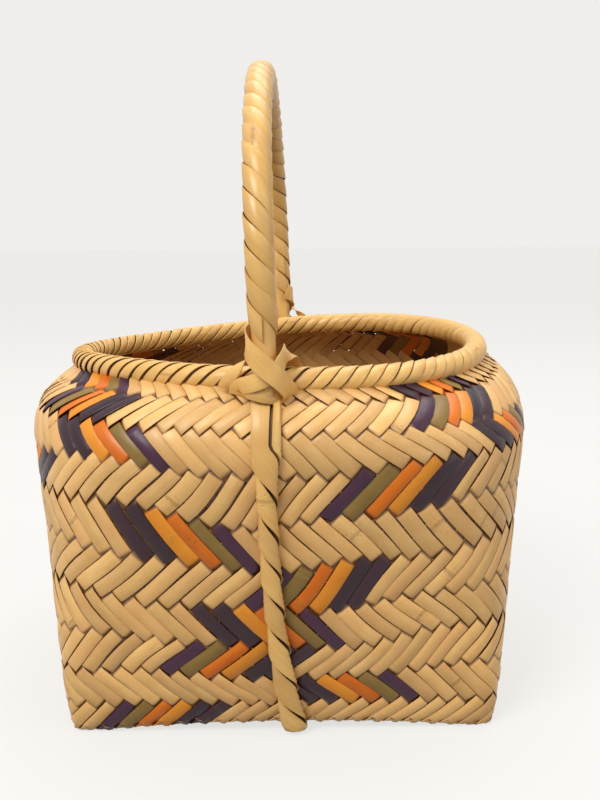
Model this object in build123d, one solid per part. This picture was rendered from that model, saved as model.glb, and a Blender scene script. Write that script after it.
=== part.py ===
from build123d import *
import math
import os

import numpy as np

# Woven basket with a fixed bow handle, in millimetres.
# The origin is on the ground under the middle of the foot, +Z is up and the handle spans front to back along Y.

# Body, measured on the outside
FOOT_HALF = 70.2
SHOULDER_HALF = 88.0
SHOULDER_HEIGHT = 95.0
FOOT_CORNER_RADIUS = 5.0
SHOULDER_CORNER_RADIUS = 60.0
SIDE_BULGE = 3.2
FOOT_BULGE = 0.5
WALL = 1.6

# Foot: the weave lifts between four flat corners
CORNER_FOOT = 9.0
FOOT_LIFT = 3.0

# Rim: two half round hoops clasp the upright edge of the weave
RIM_RADIUS = 73.6
RIM_HEIGHT = 119.0
HOOP_RADIUS = 3.1
SPLINT_FACETS = 5
EDGE_THICKNESS = 1.5
EDGE_HALF_HEIGHT = 2.75

# Flat splints that bind the rim
LASHING_STRIPS = 4
LASHING_TURNS = 22
LASHING_THICKNESS = 0.5
LASHING_GAP = 0.14
LASHING_FACETS = 8

# Handle: two half round splints bent to a three centred arch
HANDLE_TOP = 223.0
HANDLE_CORE_RADIUS = 3.6
HAUNCH_RADIUS = 60.0
HAUNCH_ANGLE = 50.0

# Flat splints wound round the handle
WRAP_STRIPS = 3
WRAP_TURNS = 11
WRAP_THICKNESS = 0.5
WRAP_GAP = 0.1
WRAP_FACETS = 10
WRAP_START_ABOVE_RIM = 14.0

# Straps that tie each leg of the handle to the rim
FALLING_WIDTH = 6.0
RISING_WIDTH = 4.8
TIE_WIDTH = 3.4
STRAP_THICKNESS = 0.5
STRAP_CLEARANCE = 0.45
STRAP_STEPS = 2

# Their routes, as steps to the right, outward and up from the middle line of the rim, in radii of the bound rim
FALLING_ROUTE = [
    (-1.2, 1.72, 3.0), (-1.05, 2.62, 2.6), (-0.6, 3.07, 2.1), (0.0, 3.27, 1.5),
    (0.9, 3.02, 0.7), (1.5, 2.37, -0.05), (1.9, 1.67, -0.55),
]
RISING_ROUTE = [
    (-2.1, 1.57, -0.5), (-1.55, 2.12, -0.35), (-0.9, 2.82, -0.05), (0.0, 3.02, 0.45), (0.85, 2.77, 1.0),
    (1.5, 1.72, 1.35), (1.85, 0.65, 1.4), (2.0, -0.4, 1.25), (2.1, -1.1, 0.6), (2.15, -1.25, -0.45),
]
TIE_ROUTE = [
    (-1.15, 1.57, 1.85), (-1.65, 1.52, 1.3), (-2.35, 1.42, 0.65), (-2.9, 1.32, 0.05), (-3.25, 1.17, -0.45),
]

# Band that gathers the splints under each leg
BAND_WIDTH = 3.4
BAND_ROOM = 1.5
BAND_DROP = 5.0
BAND_END_ANGLE = 15.0
BAND_STEPS = 10

# Splints that leave the handle, twist together and run down the wall and under the foot
STRAND_TOP_WIDTH = 8.4
STRAND_TOP_THICKNESS = 1.8
STRAND_WIDTH = 5.2
STRAND_THICKNESS = 3.0
STRAND_BASE_THICKNESS = 2.1
STRAND_FOOT_SHIFT = 4.8
STRAND_SHIFT_POWER = 3
STRAND_SIDES = 8
STRAND_TOP_DROP = 2.0
STRAND_TUCK = 4.0
TWIST_HEIGHT = 84.0
FOOT_TURN_STEPS = 4

# How the made basket has settled: its rim tilts and waves, and its handle stands askew and leans
SETTLE_START = 88.0
RIM_TILT_X = 0.026
RIM_TILT_Y = 0.019
RIM_WAVE = 0.0007
FRONT_LEG_SHIFT = -4.0
BACK_LEG_SHIFT = 0.8
HANDLE_LEAN = -3.5

# Twill: 88 splints cross in rows of floats, and each row bulges between its edges
SPLINTS_ROUND = 88
SPLINT_PITCH = 4.7
FIRST_ROW_EDGE = 1.75
ROW_ADVANCE = 2.0
ROW_RELIEF = 0.45
CLIMB_STEP = 2.5

# Clearances
SEAT = 0.15
SOFT_GAP = 0.35
RUN_GAP = 0.3
NECK_TUCK = 0.2
TINY = 1e-6

# How the outline grows from foot to shoulder and closes to the neck
SWELL_POWER = 0.8
ROUNDING_POWER = 1.5
CLOSING_POWER = 3.0
RISING_STEPS = 8
CLOSING_STEPS = 4
CORNER_FACETS = 10
SIDE_FACETS = 6
NECK_SIDE_ANGLE = 17.0
RING_STEPS = 88
HANDLE_STEPS = 60
LEAN_STEP = 0.5
LEAST_INNER_RADIUS = 1.0
MOUTH_ROOM = 3.0

# Places that follow from the sizes above
LASHING_INNER = (HOOP_RADIUS + SEAT / 2) / math.cos(math.pi / LASHING_FACETS) + SEAT / 2
LASHING_OUTER = LASHING_INNER + LASHING_THICKNESS
NECK_RADIUS = RIM_RADIUS + LASHING_OUTER + SOFT_GAP
NECK_HEIGHT = RIM_HEIGHT - LASHING_OUTER + NECK_TUCK
WRAP_INNER = (HANDLE_CORE_RADIUS + SEAT / 2) / math.cos(math.pi / WRAP_FACETS) + SEAT
WRAP_OUTER = WRAP_INNER + WRAP_THICKNESS
LEG_AXIS = RIM_RADIUS + LASHING_OUTER + RUN_GAP + HANDLE_CORE_RADIUS
LEG_FOOT_HEIGHT = NECK_HEIGHT + RUN_GAP
CROWN_TOP = HANDLE_TOP - WRAP_OUTER
FRONT_TURN = math.degrees(math.asin(FRONT_LEG_SHIFT / LEG_AXIS))
BACK_TURN = 180 - math.degrees(math.asin(BACK_LEG_SHIFT / LEG_AXIS))
HANDLE_TURN = (FRONT_TURN + BACK_TURN - 180) / 2
HANDLE_SHIFT = (FRONT_LEG_SHIFT + BACK_LEG_SHIFT) / 2


def flat_face(corners):
    """A flat face with straight edges between its corners."""
    return Face(Wire.make_polygon(corners, close=True))


def side_faces(near, far):
    """Two flat triangles for each pair of edges of two rings of points."""
    faces = []
    for index in range(len(near)):
        following = (index + 1) % len(near)
        faces.append(flat_face([near[index], near[following], far[following]]))
        faces.append(flat_face([near[index], far[following], far[index]]))
    return faces


def end_faces(ring):
    """One face over a level ring of points, or triangles from the middle of one that isn't level."""
    heights = [point.Z for point in ring]
    if max(heights) - min(heights) < TINY:
        return [flat_face(ring)]
    middle = sum(ring, Vector(0, 0, 0)) / len(ring)
    return [flat_face([near, far, middle]) for near, far in zip(ring, ring[1:] + ring[:1])]


def ribbon(stations):
    """A solid through rings of points, one ring for each station, closed at both ends."""
    faces = end_faces(stations[0]) + end_faces(stations[-1])
    for near, far in zip(stations, stations[1:]):
        faces += side_faces(near, far)
    return Solid(Shell(faces))


def closed_ribbon(stations):
    """A solid through rings of points whose last station runs on into the first."""
    faces = []
    for near, far in zip(stations, stations[1:] + stations[:1]):
        faces += side_faces(near, far)
    return Solid(Shell(faces))


def settled(point):
    """The point moved as the made basket has settled."""
    part = min(max((point.Z - SETTLE_START) / (RIM_HEIGHT - SETTLE_START), 0.0), 1.0)
    rise = RIM_TILT_X * point.X + RIM_TILT_Y * point.Y + RIM_WAVE * point.X * point.Y
    lean = HANDLE_LEAN * max(point.Z - RIM_HEIGHT, 0.0) / (HANDLE_TOP - RIM_HEIGHT)
    return point + Vector(lean, 0, rise * part ** 2 * (3 - 2 * part))


def placed(stations, turn=0.0, shift=0.0):
    """Rings of points turned about the upright axis, moved to the right and settled."""
    sideways = Vector(shift, 0, 0)
    return [[settled(point.rotate(Axis.Z, turn) + sideways) for point in ring] for ring in stations]


def wall_half_width(height):
    """Half width of the outside at the middle of a side."""
    if height <= SHOULDER_HEIGHT:
        rise = max(height, 0.0) / SHOULDER_HEIGHT
        return FOOT_HALF + (SHOULDER_HALF - FOOT_HALF) * rise ** SWELL_POWER
    rise = (height - SHOULDER_HEIGHT) / (NECK_HEIGHT - SHOULDER_HEIGHT)
    return NECK_RADIUS + (SHOULDER_HALF - NECK_RADIUS) * (1 - rise ** CLOSING_POWER)


def corner_radius(height):
    """Radius of the section's corners, which ends as the radius of the round neck."""
    if height <= SHOULDER_HEIGHT:
        rise = height / SHOULDER_HEIGHT
        return FOOT_CORNER_RADIUS + (SHOULDER_CORNER_RADIUS - FOOT_CORNER_RADIUS) * rise ** ROUNDING_POWER
    rise = (height - SHOULDER_HEIGHT) / (NECK_HEIGHT - SHOULDER_HEIGHT)
    return SHOULDER_CORNER_RADIUS + (NECK_RADIUS - SHOULDER_CORNER_RADIUS) * rise


def side_bulge(height):
    """How far the middle of a side stands out past the flat between its corners."""
    rise = height / NECK_HEIGHT
    return SIDE_BULGE * math.sin(math.pi * rise) + FOOT_BULGE * (1 - rise)


def wall_lean(height):
    """Change of the outside's half width per millimetre of height."""
    above = min(height + LEAN_STEP, NECK_HEIGHT)
    below = max(height - LEAN_STEP, 0.0)
    return (wall_half_width(above) - wall_half_width(below)) / (above - below)


def side_arc(half, radius, bulge):
    """Radius of a side's arc and half its angle, where it runs on into a corner arc without a bend."""
    if bulge < TINY:
        return half, math.radians(NECK_SIDE_ANGLE)
    corner = half - radius - bulge
    arc_radius = (corner ** 2 + (radius + bulge) ** 2 - radius ** 2) / (2 * bulge)
    return arc_radius, math.atan2(corner, corner - half + arc_radius)


def body_section(height, inset):
    """A rounded square at one height, as points along its four side arcs and four corner arcs."""
    half = wall_half_width(height) - inset
    radius = max(corner_radius(height) - inset, LEAST_INNER_RADIUS)
    arc_radius, side_angle = side_arc(half, radius, side_bulge(height))
    corner = (arc_radius - radius) * math.sin(side_angle)
    points = []
    for quarter in range(4):
        for step in range(SIDE_FACETS):
            angle = side_angle * (2 * step / SIDE_FACETS - 1)
            across = half - arc_radius * (1 - math.cos(angle))
            points.append(Vector(across, arc_radius * math.sin(angle), height).rotate(Axis.Z, 90 * quarter))
        for step in range(CORNER_FACETS):
            angle = side_angle + (math.pi / 2 - 2 * side_angle) * step / CORNER_FACETS
            along = Vector(radius * math.cos(angle), radius * math.sin(angle), height)
            points.append((Vector(corner, corner, 0) + along).rotate(Axis.Z, 90 * quarter))
    return points


def row_edges():
    """Heights of the edges between the rows of floats, from the room that each splint has round the body."""
    heights, advances = [0.0], [0.0]
    while heights[-1] < NECK_HEIGHT - CLIMB_STEP:
        middle = heights[-1] + CLIMB_STEP / 2
        section = body_section(middle, 0.0)
        around = sum((near - far).length for near, far in zip(section, section[1:] + section[:1]))
        climbed = CLIMB_STEP * math.hypot(1, wall_lean(middle))
        lean = math.asin(SPLINT_PITCH * SPLINTS_ROUND / around)
        advances.append(advances[-1] + climbed * math.cos(lean) / SPLINT_PITCH)
        heights.append(heights[-1] + CLIMB_STEP)
    return np.interp(np.arange(FIRST_ROW_EDGE, advances[-1], ROW_ADVANCE), advances, heights)


def row_sections():
    """Heights and insets of the outside's sections: out at the middle of each row and in at its edges."""
    edges = [float(edge) for edge in row_edges()]
    sections = [(0.0, 0.0)]
    for low, high in zip([0.0, *edges], [*edges, NECK_HEIGHT]):
        sections += [((low + high) / 2, 0.0), (high, ROW_RELIEF if high < NECK_HEIGHT else 0.0)]
    return sections


def section_heights():
    """Heights of the hollow's sections, from the ground to the neck."""
    rising = [SHOULDER_HEIGHT * step / RISING_STEPS for step in range(RISING_STEPS)]
    closing_height = NECK_HEIGHT - SHOULDER_HEIGHT
    closing = [SHOULDER_HEIGHT + closing_height * step / CLOSING_STEPS for step in range(CLOSING_STEPS + 1)]
    return rising + closing


def foot_arch(base_height, along):
    """The shallow vault between the corners, as wide as the body along X or Y."""
    half_span = FOOT_HALF - CORNER_FOOT
    profile = Wire([
        ThreePointArc((-half_span, 0), (0, FOOT_LIFT), (half_span, 0)).edge(),
        Line((half_span, 0), (-half_span, 0)).edge(),
    ])
    vault = extrude(Plane.XZ * Face(profile), amount=FOOT_HALF + CORNER_FOOT, both=True)
    return Pos(0, 0, base_height) * Rot(0, 0, along) * vault


def woven_body():
    """Walls and floor of the weave, open at the neck."""
    outside = ribbon(placed([body_section(height, inset) for height, inset in row_sections()]))
    hollow_sections = []
    for height in section_heights():
        inset = WALL * math.hypot(1, wall_lean(height))
        hollow_sections.append(body_section(max(height, WALL), inset))
    hollow_sections.append([point + Vector(0, 0, MOUTH_ROOM) for point in hollow_sections[-1]])
    hollow = ribbon(placed(hollow_sections))
    for along in (0, 90):
        outside -= foot_arch(0.0, along)
        hollow -= foot_arch(WALL, along)
    return outside - hollow


def rim_ring(profile):
    """A closed ring from a profile, as pairs of outward and upward distances from the middle line of the rim."""
    stations = []
    for step in range(RING_STEPS):
        turn = 360 * step / RING_STEPS
        stations.append([Vector(RIM_RADIUS + out, 0, RIM_HEIGHT + up).rotate(Axis.Z, turn) for out, up in profile])
    return closed_ribbon(placed(stations))


def woven_edge():
    """The top edge of the weave, which stands up between the hoops."""
    half, rise = EDGE_THICKNESS / 2, EDGE_HALF_HEIGHT
    return rim_ring([(-half, -rise), (half, -rise), (half, rise), (-half, rise)])


def half_round(radius, flat_at):
    """Corners of a split cane's section: pared facets round one side, and the flat at a distance from the centre."""
    end_angle = math.acos(flat_at / radius)
    corners = []
    for facet in range(SPLINT_FACETS + 1):
        angle = end_angle * (2 * facet / SPLINT_FACETS - 1)
        corners.append((radius * math.cos(angle), radius * math.sin(angle)))
    return corners


def rim_hoop(side):
    """One hoop of the rim, on the outside for side 1 and on the inside for side -1."""
    profile = half_round(HOOP_RADIUS, EDGE_THICKNESS / 2 + SEAT)
    return rim_ring([(side * out, up) for out, up in profile])


def corner_line(stations, corner):
    """The line that one corner of a strip's section follows, as rows of coordinates."""
    return np.array([tuple(corners[corner]) for corners in stations])


def least_gap(first, second, apart):
    """Least gap between the outer edges of two strips, leaving out stations fewer than so many steps apart."""
    least = math.inf
    for near_corner in (2, 3):
        for far_corner in (2, 3):
            points = corner_line(first, near_corner)[:, None, :]
            line = corner_line(second, far_corner)
            start, along = line[None, :-1, :], np.diff(line, axis=0)[None, :, :]
            part = ((points - start) * along).sum(axis=2) / (along ** 2).sum(axis=2)
            nearest = start + along * np.clip(part, 0, 1)[:, :, None]
            gaps = np.linalg.norm(points - nearest, axis=2)
            steps = np.abs(np.subtract.outer(np.arange(gaps.shape[0]), np.arange(gaps.shape[1])))
            least = min(least, gaps[steps >= apart].min())
    return least


def rim_point(around, tube_angle, tube_radius):
    """A point on a circle about the middle line of the rim, angles in radians."""
    reach = RIM_RADIUS + tube_radius * math.cos(tube_angle)
    return Vector(
        reach * math.cos(around), reach * math.sin(around), RIM_HEIGHT + tube_radius * math.sin(tube_angle)
    )


def lashing_stations(strip):
    """Stations of one splint wound round the hoops, from the front leg round to the front leg again."""
    pitch = 2 * math.pi / (LASHING_STRIPS * LASHING_TURNS)
    half = pitch * (1 - LASHING_GAP) / 2
    facets = LASHING_FACETS * LASHING_TURNS - LASHING_FACETS // LASHING_STRIPS
    stations = []
    for facet in range(facets + 1):
        turn = facet / LASHING_FACETS
        around = -math.pi / 2 + pitch + 2 * math.pi * turn / LASHING_TURNS
        tube_angle = 2 * math.pi * (turn - strip / LASHING_STRIPS) + math.pi
        stations.append([
            rim_point(around - half, tube_angle, LASHING_INNER),
            rim_point(around + half, tube_angle, LASHING_INNER),
            rim_point(around + half, tube_angle, LASHING_OUTER),
            rim_point(around - half, tube_angle, LASHING_OUTER),
        ])
    return stations


def handle_arch():
    """Radius of the crown and height of the top of the straight legs, on the middle line."""
    angle = math.radians(HAUNCH_ANGLE)
    crown_radius = (LEG_AXIS - HAUNCH_RADIUS + HAUNCH_RADIUS * math.cos(angle)) / math.cos(angle)
    rise = HAUNCH_RADIUS * math.sin(angle) + crown_radius * (1 - math.sin(angle))
    return crown_radius, CROWN_TOP - rise


def handle_lengths():
    """Lengths of the leg, the haunch and half of the crown along the middle line."""
    crown_radius, leg_top = handle_arch()
    angle = math.radians(HAUNCH_ANGLE)
    return leg_top - LEG_FOOT_HEIGHT, HAUNCH_RADIUS * angle, crown_radius * (math.pi / 2 - angle)


def handle_station(distance):
    """Point and outward direction on the handle's middle line, measured from the front foot."""
    leg, haunch, crown = handle_lengths()
    half = leg + haunch + crown
    near = min(distance, 2 * half - distance)
    crown_radius, leg_top = handle_arch()
    if near <= leg:
        across, height, angle = LEG_AXIS, LEG_FOOT_HEIGHT + near, 0.0
    elif near <= leg + haunch:
        angle = (near - leg) / HAUNCH_RADIUS
        across = LEG_AXIS - HAUNCH_RADIUS + HAUNCH_RADIUS * math.cos(angle)
        height = leg_top + HAUNCH_RADIUS * math.sin(angle)
    else:
        angle = math.radians(HAUNCH_ANGLE) + (near - leg - haunch) / crown_radius
        across = crown_radius * math.cos(angle)
        height = CROWN_TOP - crown_radius * (1 - math.sin(angle))
    side = -1 if distance <= half else 1
    return Vector(0, side * across, height), Vector(0, side * math.cos(angle), math.sin(angle))


def handle_splint(side):
    """One half of the handle's core, outside the arch for side 1 and inside it for side -1."""
    full = 2 * sum(handle_lengths())
    corners = half_round(HANDLE_CORE_RADIUS, SEAT / 2)
    stations = []
    for step in range(HANDLE_STEPS + 1):
        point, out = handle_station(full * step / HANDLE_STEPS)
        stations.append([point + out * (side * reach) + Vector(across, 0, 0) for reach, across in corners])
    return ribbon(placed(stations, HANDLE_TURN, HANDLE_SHIFT))


def wrap_stations(strip):
    """Stations of one splint wound over the handle from the front leg to the back leg."""
    leg, haunch, crown = handle_lengths()
    first = RIM_HEIGHT + WRAP_START_ABOVE_RIM - LEG_FOOT_HEIGHT
    length = 2 * (leg + haunch + crown - first)
    pitch = length / (WRAP_STRIPS * WRAP_TURNS + 1)
    half = pitch * (1 - WRAP_GAP) / 2
    facets = WRAP_FACETS * WRAP_TURNS
    stations = []
    for facet in range(facets + 1):
        middle = first + pitch / 2 + (length - pitch) * facet / facets
        angle = -2 * math.pi * (facet / WRAP_FACETS + strip / WRAP_STRIPS)
        corners = []
        for radius in (WRAP_INNER, WRAP_OUTER):
            for shift in (-half, half):
                point, out = handle_station(middle + shift)
                corners.append(point + out * radius * math.cos(angle) + Vector(radius * math.sin(angle), 0, 0))
        stations.append([corners[0], corners[1], corners[3], corners[2]])
    return stations


def smooth_route(points, steps):
    """Points along a smooth curve through the given ones, with equal steps between neighbours."""
    padded = [points[0] * 2 - points[1], *points, points[-1] * 2 - points[-2]]
    route = []
    for index in range(1, len(padded) - 2):
        before, start, end, after = padded[index - 1:index + 3]
        for step in range(steps):
            part = step / steps
            pull = (end - before) * part + (before * 2 - start * 5 + end * 4 - after) * part ** 2
            pull += (start * 3 - before - end * 3 + after) * part ** 3
            route.append(start + pull / 2)
    return [*route, points[-1]]


def beside_joint(point, clearance):
    """The point moved clear of the front leg and of the bound rim, with the direction away from both."""
    legs = Vector(point.X, point.Y + LEG_AXIS, 0)
    rims = Vector(0, point.Y + RIM_RADIUS, point.Z - RIM_HEIGHT)
    leg_reach = HANDLE_CORE_RADIUS + clearance
    rim_reach = LASHING_OUTER + clearance
    if legs.length < leg_reach:
        point += legs.normalized() * (leg_reach - legs.length)
    if rims.length < rim_reach:
        point += rims.normalized() * (rim_reach - rims.length)
    leg_pull = 1 / (max(legs.length - HANDLE_CORE_RADIUS, 0) + 1) ** 2
    rim_pull = 1 / (max(rims.length - LASHING_OUTER, 0) + 1) ** 2
    return point, (legs.normalized() * leg_pull + rims.normalized() * rim_pull).normalized()


def strap(points, width, clearance):
    """Stations of a flat strip along points beside the front joint, kept clear of the leg and the rim."""
    route = [beside_joint(point, clearance) for point in smooth_route(points, STRAP_STEPS)]
    stations = []
    for index, (point, out) in enumerate(route):
        ahead = route[min(index + 1, len(route) - 1)][0] - route[max(index - 1, 0)][0]
        out = (out - ahead * (out.dot(ahead) / ahead.dot(ahead))).normalized()
        across = ahead.cross(out).normalized() * (width / 2)
        lift = out * STRAP_THICKNESS
        stations.append([point - across, point + across, point + across + lift, point - across + lift])
    return stations


def joint_route(steps):
    """The points of a strap's route beside the front joint of leg and rim."""
    crossing = Vector(0, -RIM_RADIUS, RIM_HEIGHT)
    return [crossing + Vector(right, -out, up) * LASHING_OUTER for right, out, up in steps]


def joint_straps():
    """Stations of the front joint's straps: the one that falls across the leg lies over the one that rises."""
    over = STRAP_CLEARANCE + STRAP_THICKNESS + SOFT_GAP
    return {
        "cross_strap_falling": strap(joint_route(FALLING_ROUTE), FALLING_WIDTH, over),
        "cross_strap_rising": strap(joint_route(RISING_ROUTE), RISING_WIDTH, STRAP_CLEARANCE),
        "side_tie": strap(joint_route(TIE_ROUTE), TIE_WIDTH, STRAP_CLEARANCE),
    }


def wall_offset(height, distance):
    """A point in the YZ plane at a distance outside the front wall, with the outward direction."""
    out = Vector(0, -1, -wall_lean(height)).normalized()
    return Vector(0, -wall_half_width(height), height) + out * distance, out


def strand_shift(height, top_shift):
    """Sideways place of a strand, which bends away from under the handle's leg as it nears the foot."""
    fall = 1 - min(max(height, 0.0) / NECK_HEIGHT, 1.0)
    return top_shift + (STRAND_FOOT_SHIFT - top_shift) * fall ** STRAND_SHIFT_POWER


def strand_ring(centre, out, half_width, half_thickness):
    """A closed ring of points, flattened along the outward direction."""
    ring = []
    for side in range(STRAND_SIDES):
        angle = 2 * math.pi * (side + 0.5) / STRAND_SIDES
        ring.append(centre + Vector(half_width * math.cos(angle), 0, 0) + out * half_thickness * math.sin(angle))
    return ring


def wall_strand(top_shift):
    """Stations of the strand from under the front leg, down the wall and round the foot's edge."""
    top = NECK_HEIGHT - STRAND_TOP_DROP
    low = FOOT_LIFT + STRAND_TUCK
    between = [height for height, _ in reversed(row_sections()) if low < height < top]
    rings = []
    for height in [top, *between, low]:
        part = min(max((height - TWIST_HEIGHT) / (top - TWIST_HEIGHT), 0.0), 1.0)
        half_width = (STRAND_WIDTH + (STRAND_TOP_WIDTH - STRAND_WIDTH) * part) / 2
        half_thickness = (STRAND_THICKNESS + (STRAND_TOP_THICKNESS - STRAND_THICKNESS) * part) / 2
        centre, out = wall_offset(height, half_thickness + SOFT_GAP)
        centre += Vector(strand_shift(height, top_shift), 0, 0)
        rings.append(strand_ring(centre, out, half_width, half_thickness))
    edge = Vector(STRAND_FOOT_SHIFT, -wall_half_width(FOOT_LIFT), FOOT_LIFT)
    half_thickness = STRAND_BASE_THICKNESS / 2
    for step in range(1, FOOT_TURN_STEPS + 1):
        angle = math.pi / 2 * step / FOOT_TURN_STEPS
        out = Vector(0, -math.cos(angle), -math.sin(angle))
        rings.append(strand_ring(edge + out * (half_thickness + SOFT_GAP), out, STRAND_WIDTH / 2, half_thickness))
    inward = Vector(0, STRAND_TUCK, 0)
    rings.append([point + inward for point in rings[-1]])
    return rings


def base_strand():
    """The strand's run under the foot, in the lift between the corner feet."""
    half_thickness = STRAND_BASE_THICKNESS / 2
    height = FOOT_LIFT - SOFT_GAP - half_thickness
    half_length = wall_half_width(FOOT_LIFT) - STRAND_TUCK - RUN_GAP
    rings = []
    for side in (-1, 1):
        centre = Vector(STRAND_FOOT_SHIFT, side * half_length, height)
        rings.append(strand_ring(centre, Vector(0, 0, -1), STRAND_WIDTH / 2, half_thickness))
    return ribbon(rings)


def neck_band():
    """Stations of the band that gathers the splints just under the rim."""
    point, out = wall_offset(NECK_HEIGHT - BAND_DROP, 0.0)
    down = Vector(0, out.Z, -out.Y) * (BAND_WIDTH / 2)
    half_across = STRAND_TOP_WIDTH / 2 + BAND_ROOM
    reach = STRAND_TOP_THICKNESS + SOFT_GAP + BAND_ROOM
    end_angle = math.radians(BAND_END_ANGLE)
    stations = []
    for step in range(BAND_STEPS + 1):
        angle = end_angle + (math.pi - 2 * end_angle) * step / BAND_STEPS
        corners = []
        for grow in (0.0, STRAP_THICKNESS):
            base = point + Vector((half_across + grow) * math.cos(angle), 0, 0)
            base += out * ((reach + grow) * math.sin(angle))
            corners += [base - down, base + down]
        stations.append([corners[0], corners[1], corners[3], corners[2]])
    return stations


def print_gaps(name, strips, facets):
    """Prints the least gap between the turns of one strip, and between neighbouring strips."""
    own = min(least_gap(strip, strip, facets // 2) for strip in strips)
    beside = min(least_gap(near, far, 0) for near, far in zip(strips, strips[1:]))
    print(f"{name}: least gap to itself {own:.2f} mm, to the strip beside it {beside:.2f} mm")


def build_nodes():
    """Every piece by its node name."""
    nodes = {
        "woven_body": woven_body(),
        "woven_edge": woven_edge(),
        "rim_outer_hoop": rim_hoop(1),
        "rim_inner_hoop": rim_hoop(-1),
        "handle_outer_splint": handle_splint(1),
        "handle_inner_splint": handle_splint(-1),
        "base_strand": base_strand(),
    }
    lashings = [placed(lashing_stations(strip), FRONT_TURN) for strip in range(LASHING_STRIPS)]
    wraps = [placed(wrap_stations(strip), HANDLE_TURN, HANDLE_SHIFT) for strip in range(WRAP_STRIPS)]
    for strip, stations in enumerate(lashings, 1):
        nodes[f"rim_lashing_{strip}"] = ribbon(stations)
    for strip, stations in enumerate(wraps, 1):
        nodes[f"handle_wrap_{strip}"] = ribbon(stations)
    print_gaps("rim lashing", lashings, LASHING_FACETS)
    print_gaps("handle wrap", wraps, WRAP_FACETS)
    joint_pieces = joint_straps()
    joint_pieces["neck_band"] = neck_band()
    for end, turn in (("front", FRONT_TURN), ("back", BACK_TURN)):
        for name, stations in joint_pieces.items():
            nodes[f"{end}_{name}"] = ribbon(placed(stations, turn))
    nodes["front_strand"] = ribbon(placed(wall_strand(FRONT_LEG_SHIFT)))
    back_strand = [[Vector(point.X, -point.Y, point.Z) for point in ring] for ring in wall_strand(BACK_LEG_SHIFT)]
    nodes["back_strand"] = ribbon(placed(back_strand))
    return nodes


def main():
    os.makedirs("parts", exist_ok=True)
    for name, solid in build_nodes().items():
        export_step(solid, f"parts/{name}.step")


main()
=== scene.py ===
"""Dresses a plaited cane basket: twill woven walls, a bound rim and a wrapped bow handle lashed to it.

Shapes are worked out in millimetres and written to their meshes in metres.
"""
import logging
import math
from dataclasses import dataclass, field
from enum import Enum

import bpy
import numpy as np
from mathutils import Matrix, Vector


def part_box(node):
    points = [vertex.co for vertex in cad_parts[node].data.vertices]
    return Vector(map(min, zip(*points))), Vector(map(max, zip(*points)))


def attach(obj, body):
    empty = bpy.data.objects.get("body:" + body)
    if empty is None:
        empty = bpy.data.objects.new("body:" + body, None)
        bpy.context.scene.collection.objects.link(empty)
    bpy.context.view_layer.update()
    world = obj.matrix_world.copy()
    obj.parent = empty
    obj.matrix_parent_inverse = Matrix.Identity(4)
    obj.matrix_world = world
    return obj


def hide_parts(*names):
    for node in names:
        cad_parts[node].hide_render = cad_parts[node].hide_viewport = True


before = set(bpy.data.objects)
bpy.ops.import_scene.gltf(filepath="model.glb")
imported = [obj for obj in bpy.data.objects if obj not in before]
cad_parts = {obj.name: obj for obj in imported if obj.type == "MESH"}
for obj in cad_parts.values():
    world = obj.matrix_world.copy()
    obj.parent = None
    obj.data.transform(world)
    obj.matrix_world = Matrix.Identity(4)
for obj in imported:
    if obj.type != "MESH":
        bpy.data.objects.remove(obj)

Array = np.ndarray
Colour = tuple[float, float, float]
MILLIMETRES = 1000.0
TURN = 2 * math.pi
SEED = 41
STRIP_ATTRIBUTE = "strip"
SHADE_ATTRIBUTE = "shade"

log = logging.getLogger("basket")


class Dye(Enum):
    """The colours that the splints are dyed, as display colours of the lighter and the deeper tone."""

    NATURAL = ((0.915, 0.740, 0.470), (0.810, 0.600, 0.325))
    DARK = ((0.200, 0.085, 0.130), (0.130, 0.045, 0.080))
    PURPLE = ((0.290, 0.120, 0.230), (0.200, 0.075, 0.155))
    ORANGE = ((0.870, 0.460, 0.040), (0.780, 0.360, 0.020))
    PALE_ORANGE = ((0.905, 0.585, 0.150), (0.860, 0.490, 0.090))
    OLIVE = ((0.570, 0.450, 0.200), (0.460, 0.350, 0.140))


class Lean(Enum):
    """Which way a splint leans as it climbs a wall, seen from outside."""

    RISING = 1
    FALLING = -1


class End(Enum):
    """The two legs of the handle."""

    FRONT = "front"
    BACK = "back"


def box_mm(node: str) -> tuple[Array, Array]:
    """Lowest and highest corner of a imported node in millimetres.

    Args:
        node: name of the node.

    Returns:
        The two corners.
    """
    low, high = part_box(node)
    return np.array(low) * MILLIMETRES, np.array(high) * MILLIMETRES


def unit(vectors: Array) -> Array:
    """Vectors scaled to a length of one along the last axis."""
    return vectors / np.maximum(np.linalg.norm(vectors, axis=-1, keepdims=True), 1e-12)


def smooth_step(value: Array) -> Array:
    """Zero below 0, one above 1, and a smooth S between: 3 v squared less 2 v cubed."""
    value = np.clip(value, 0.0, 1.0)
    return value * value * (3 - 2 * value)


def linear(colour: Colour) -> tuple[float, float, float, float]:
    """A display colour as the linear colour that a shader takes.

    Args:
        colour: red, green and blue as they are displayed, 0 to 1.

    Returns:
        Linear red, green, blue and an alpha of one.
    """
    channels = [c / 12.92 if c <= 0.04045 else ((c + 0.055) / 1.055) ** 2.4 for c in colour]
    return (*channels, 1.0)


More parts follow.
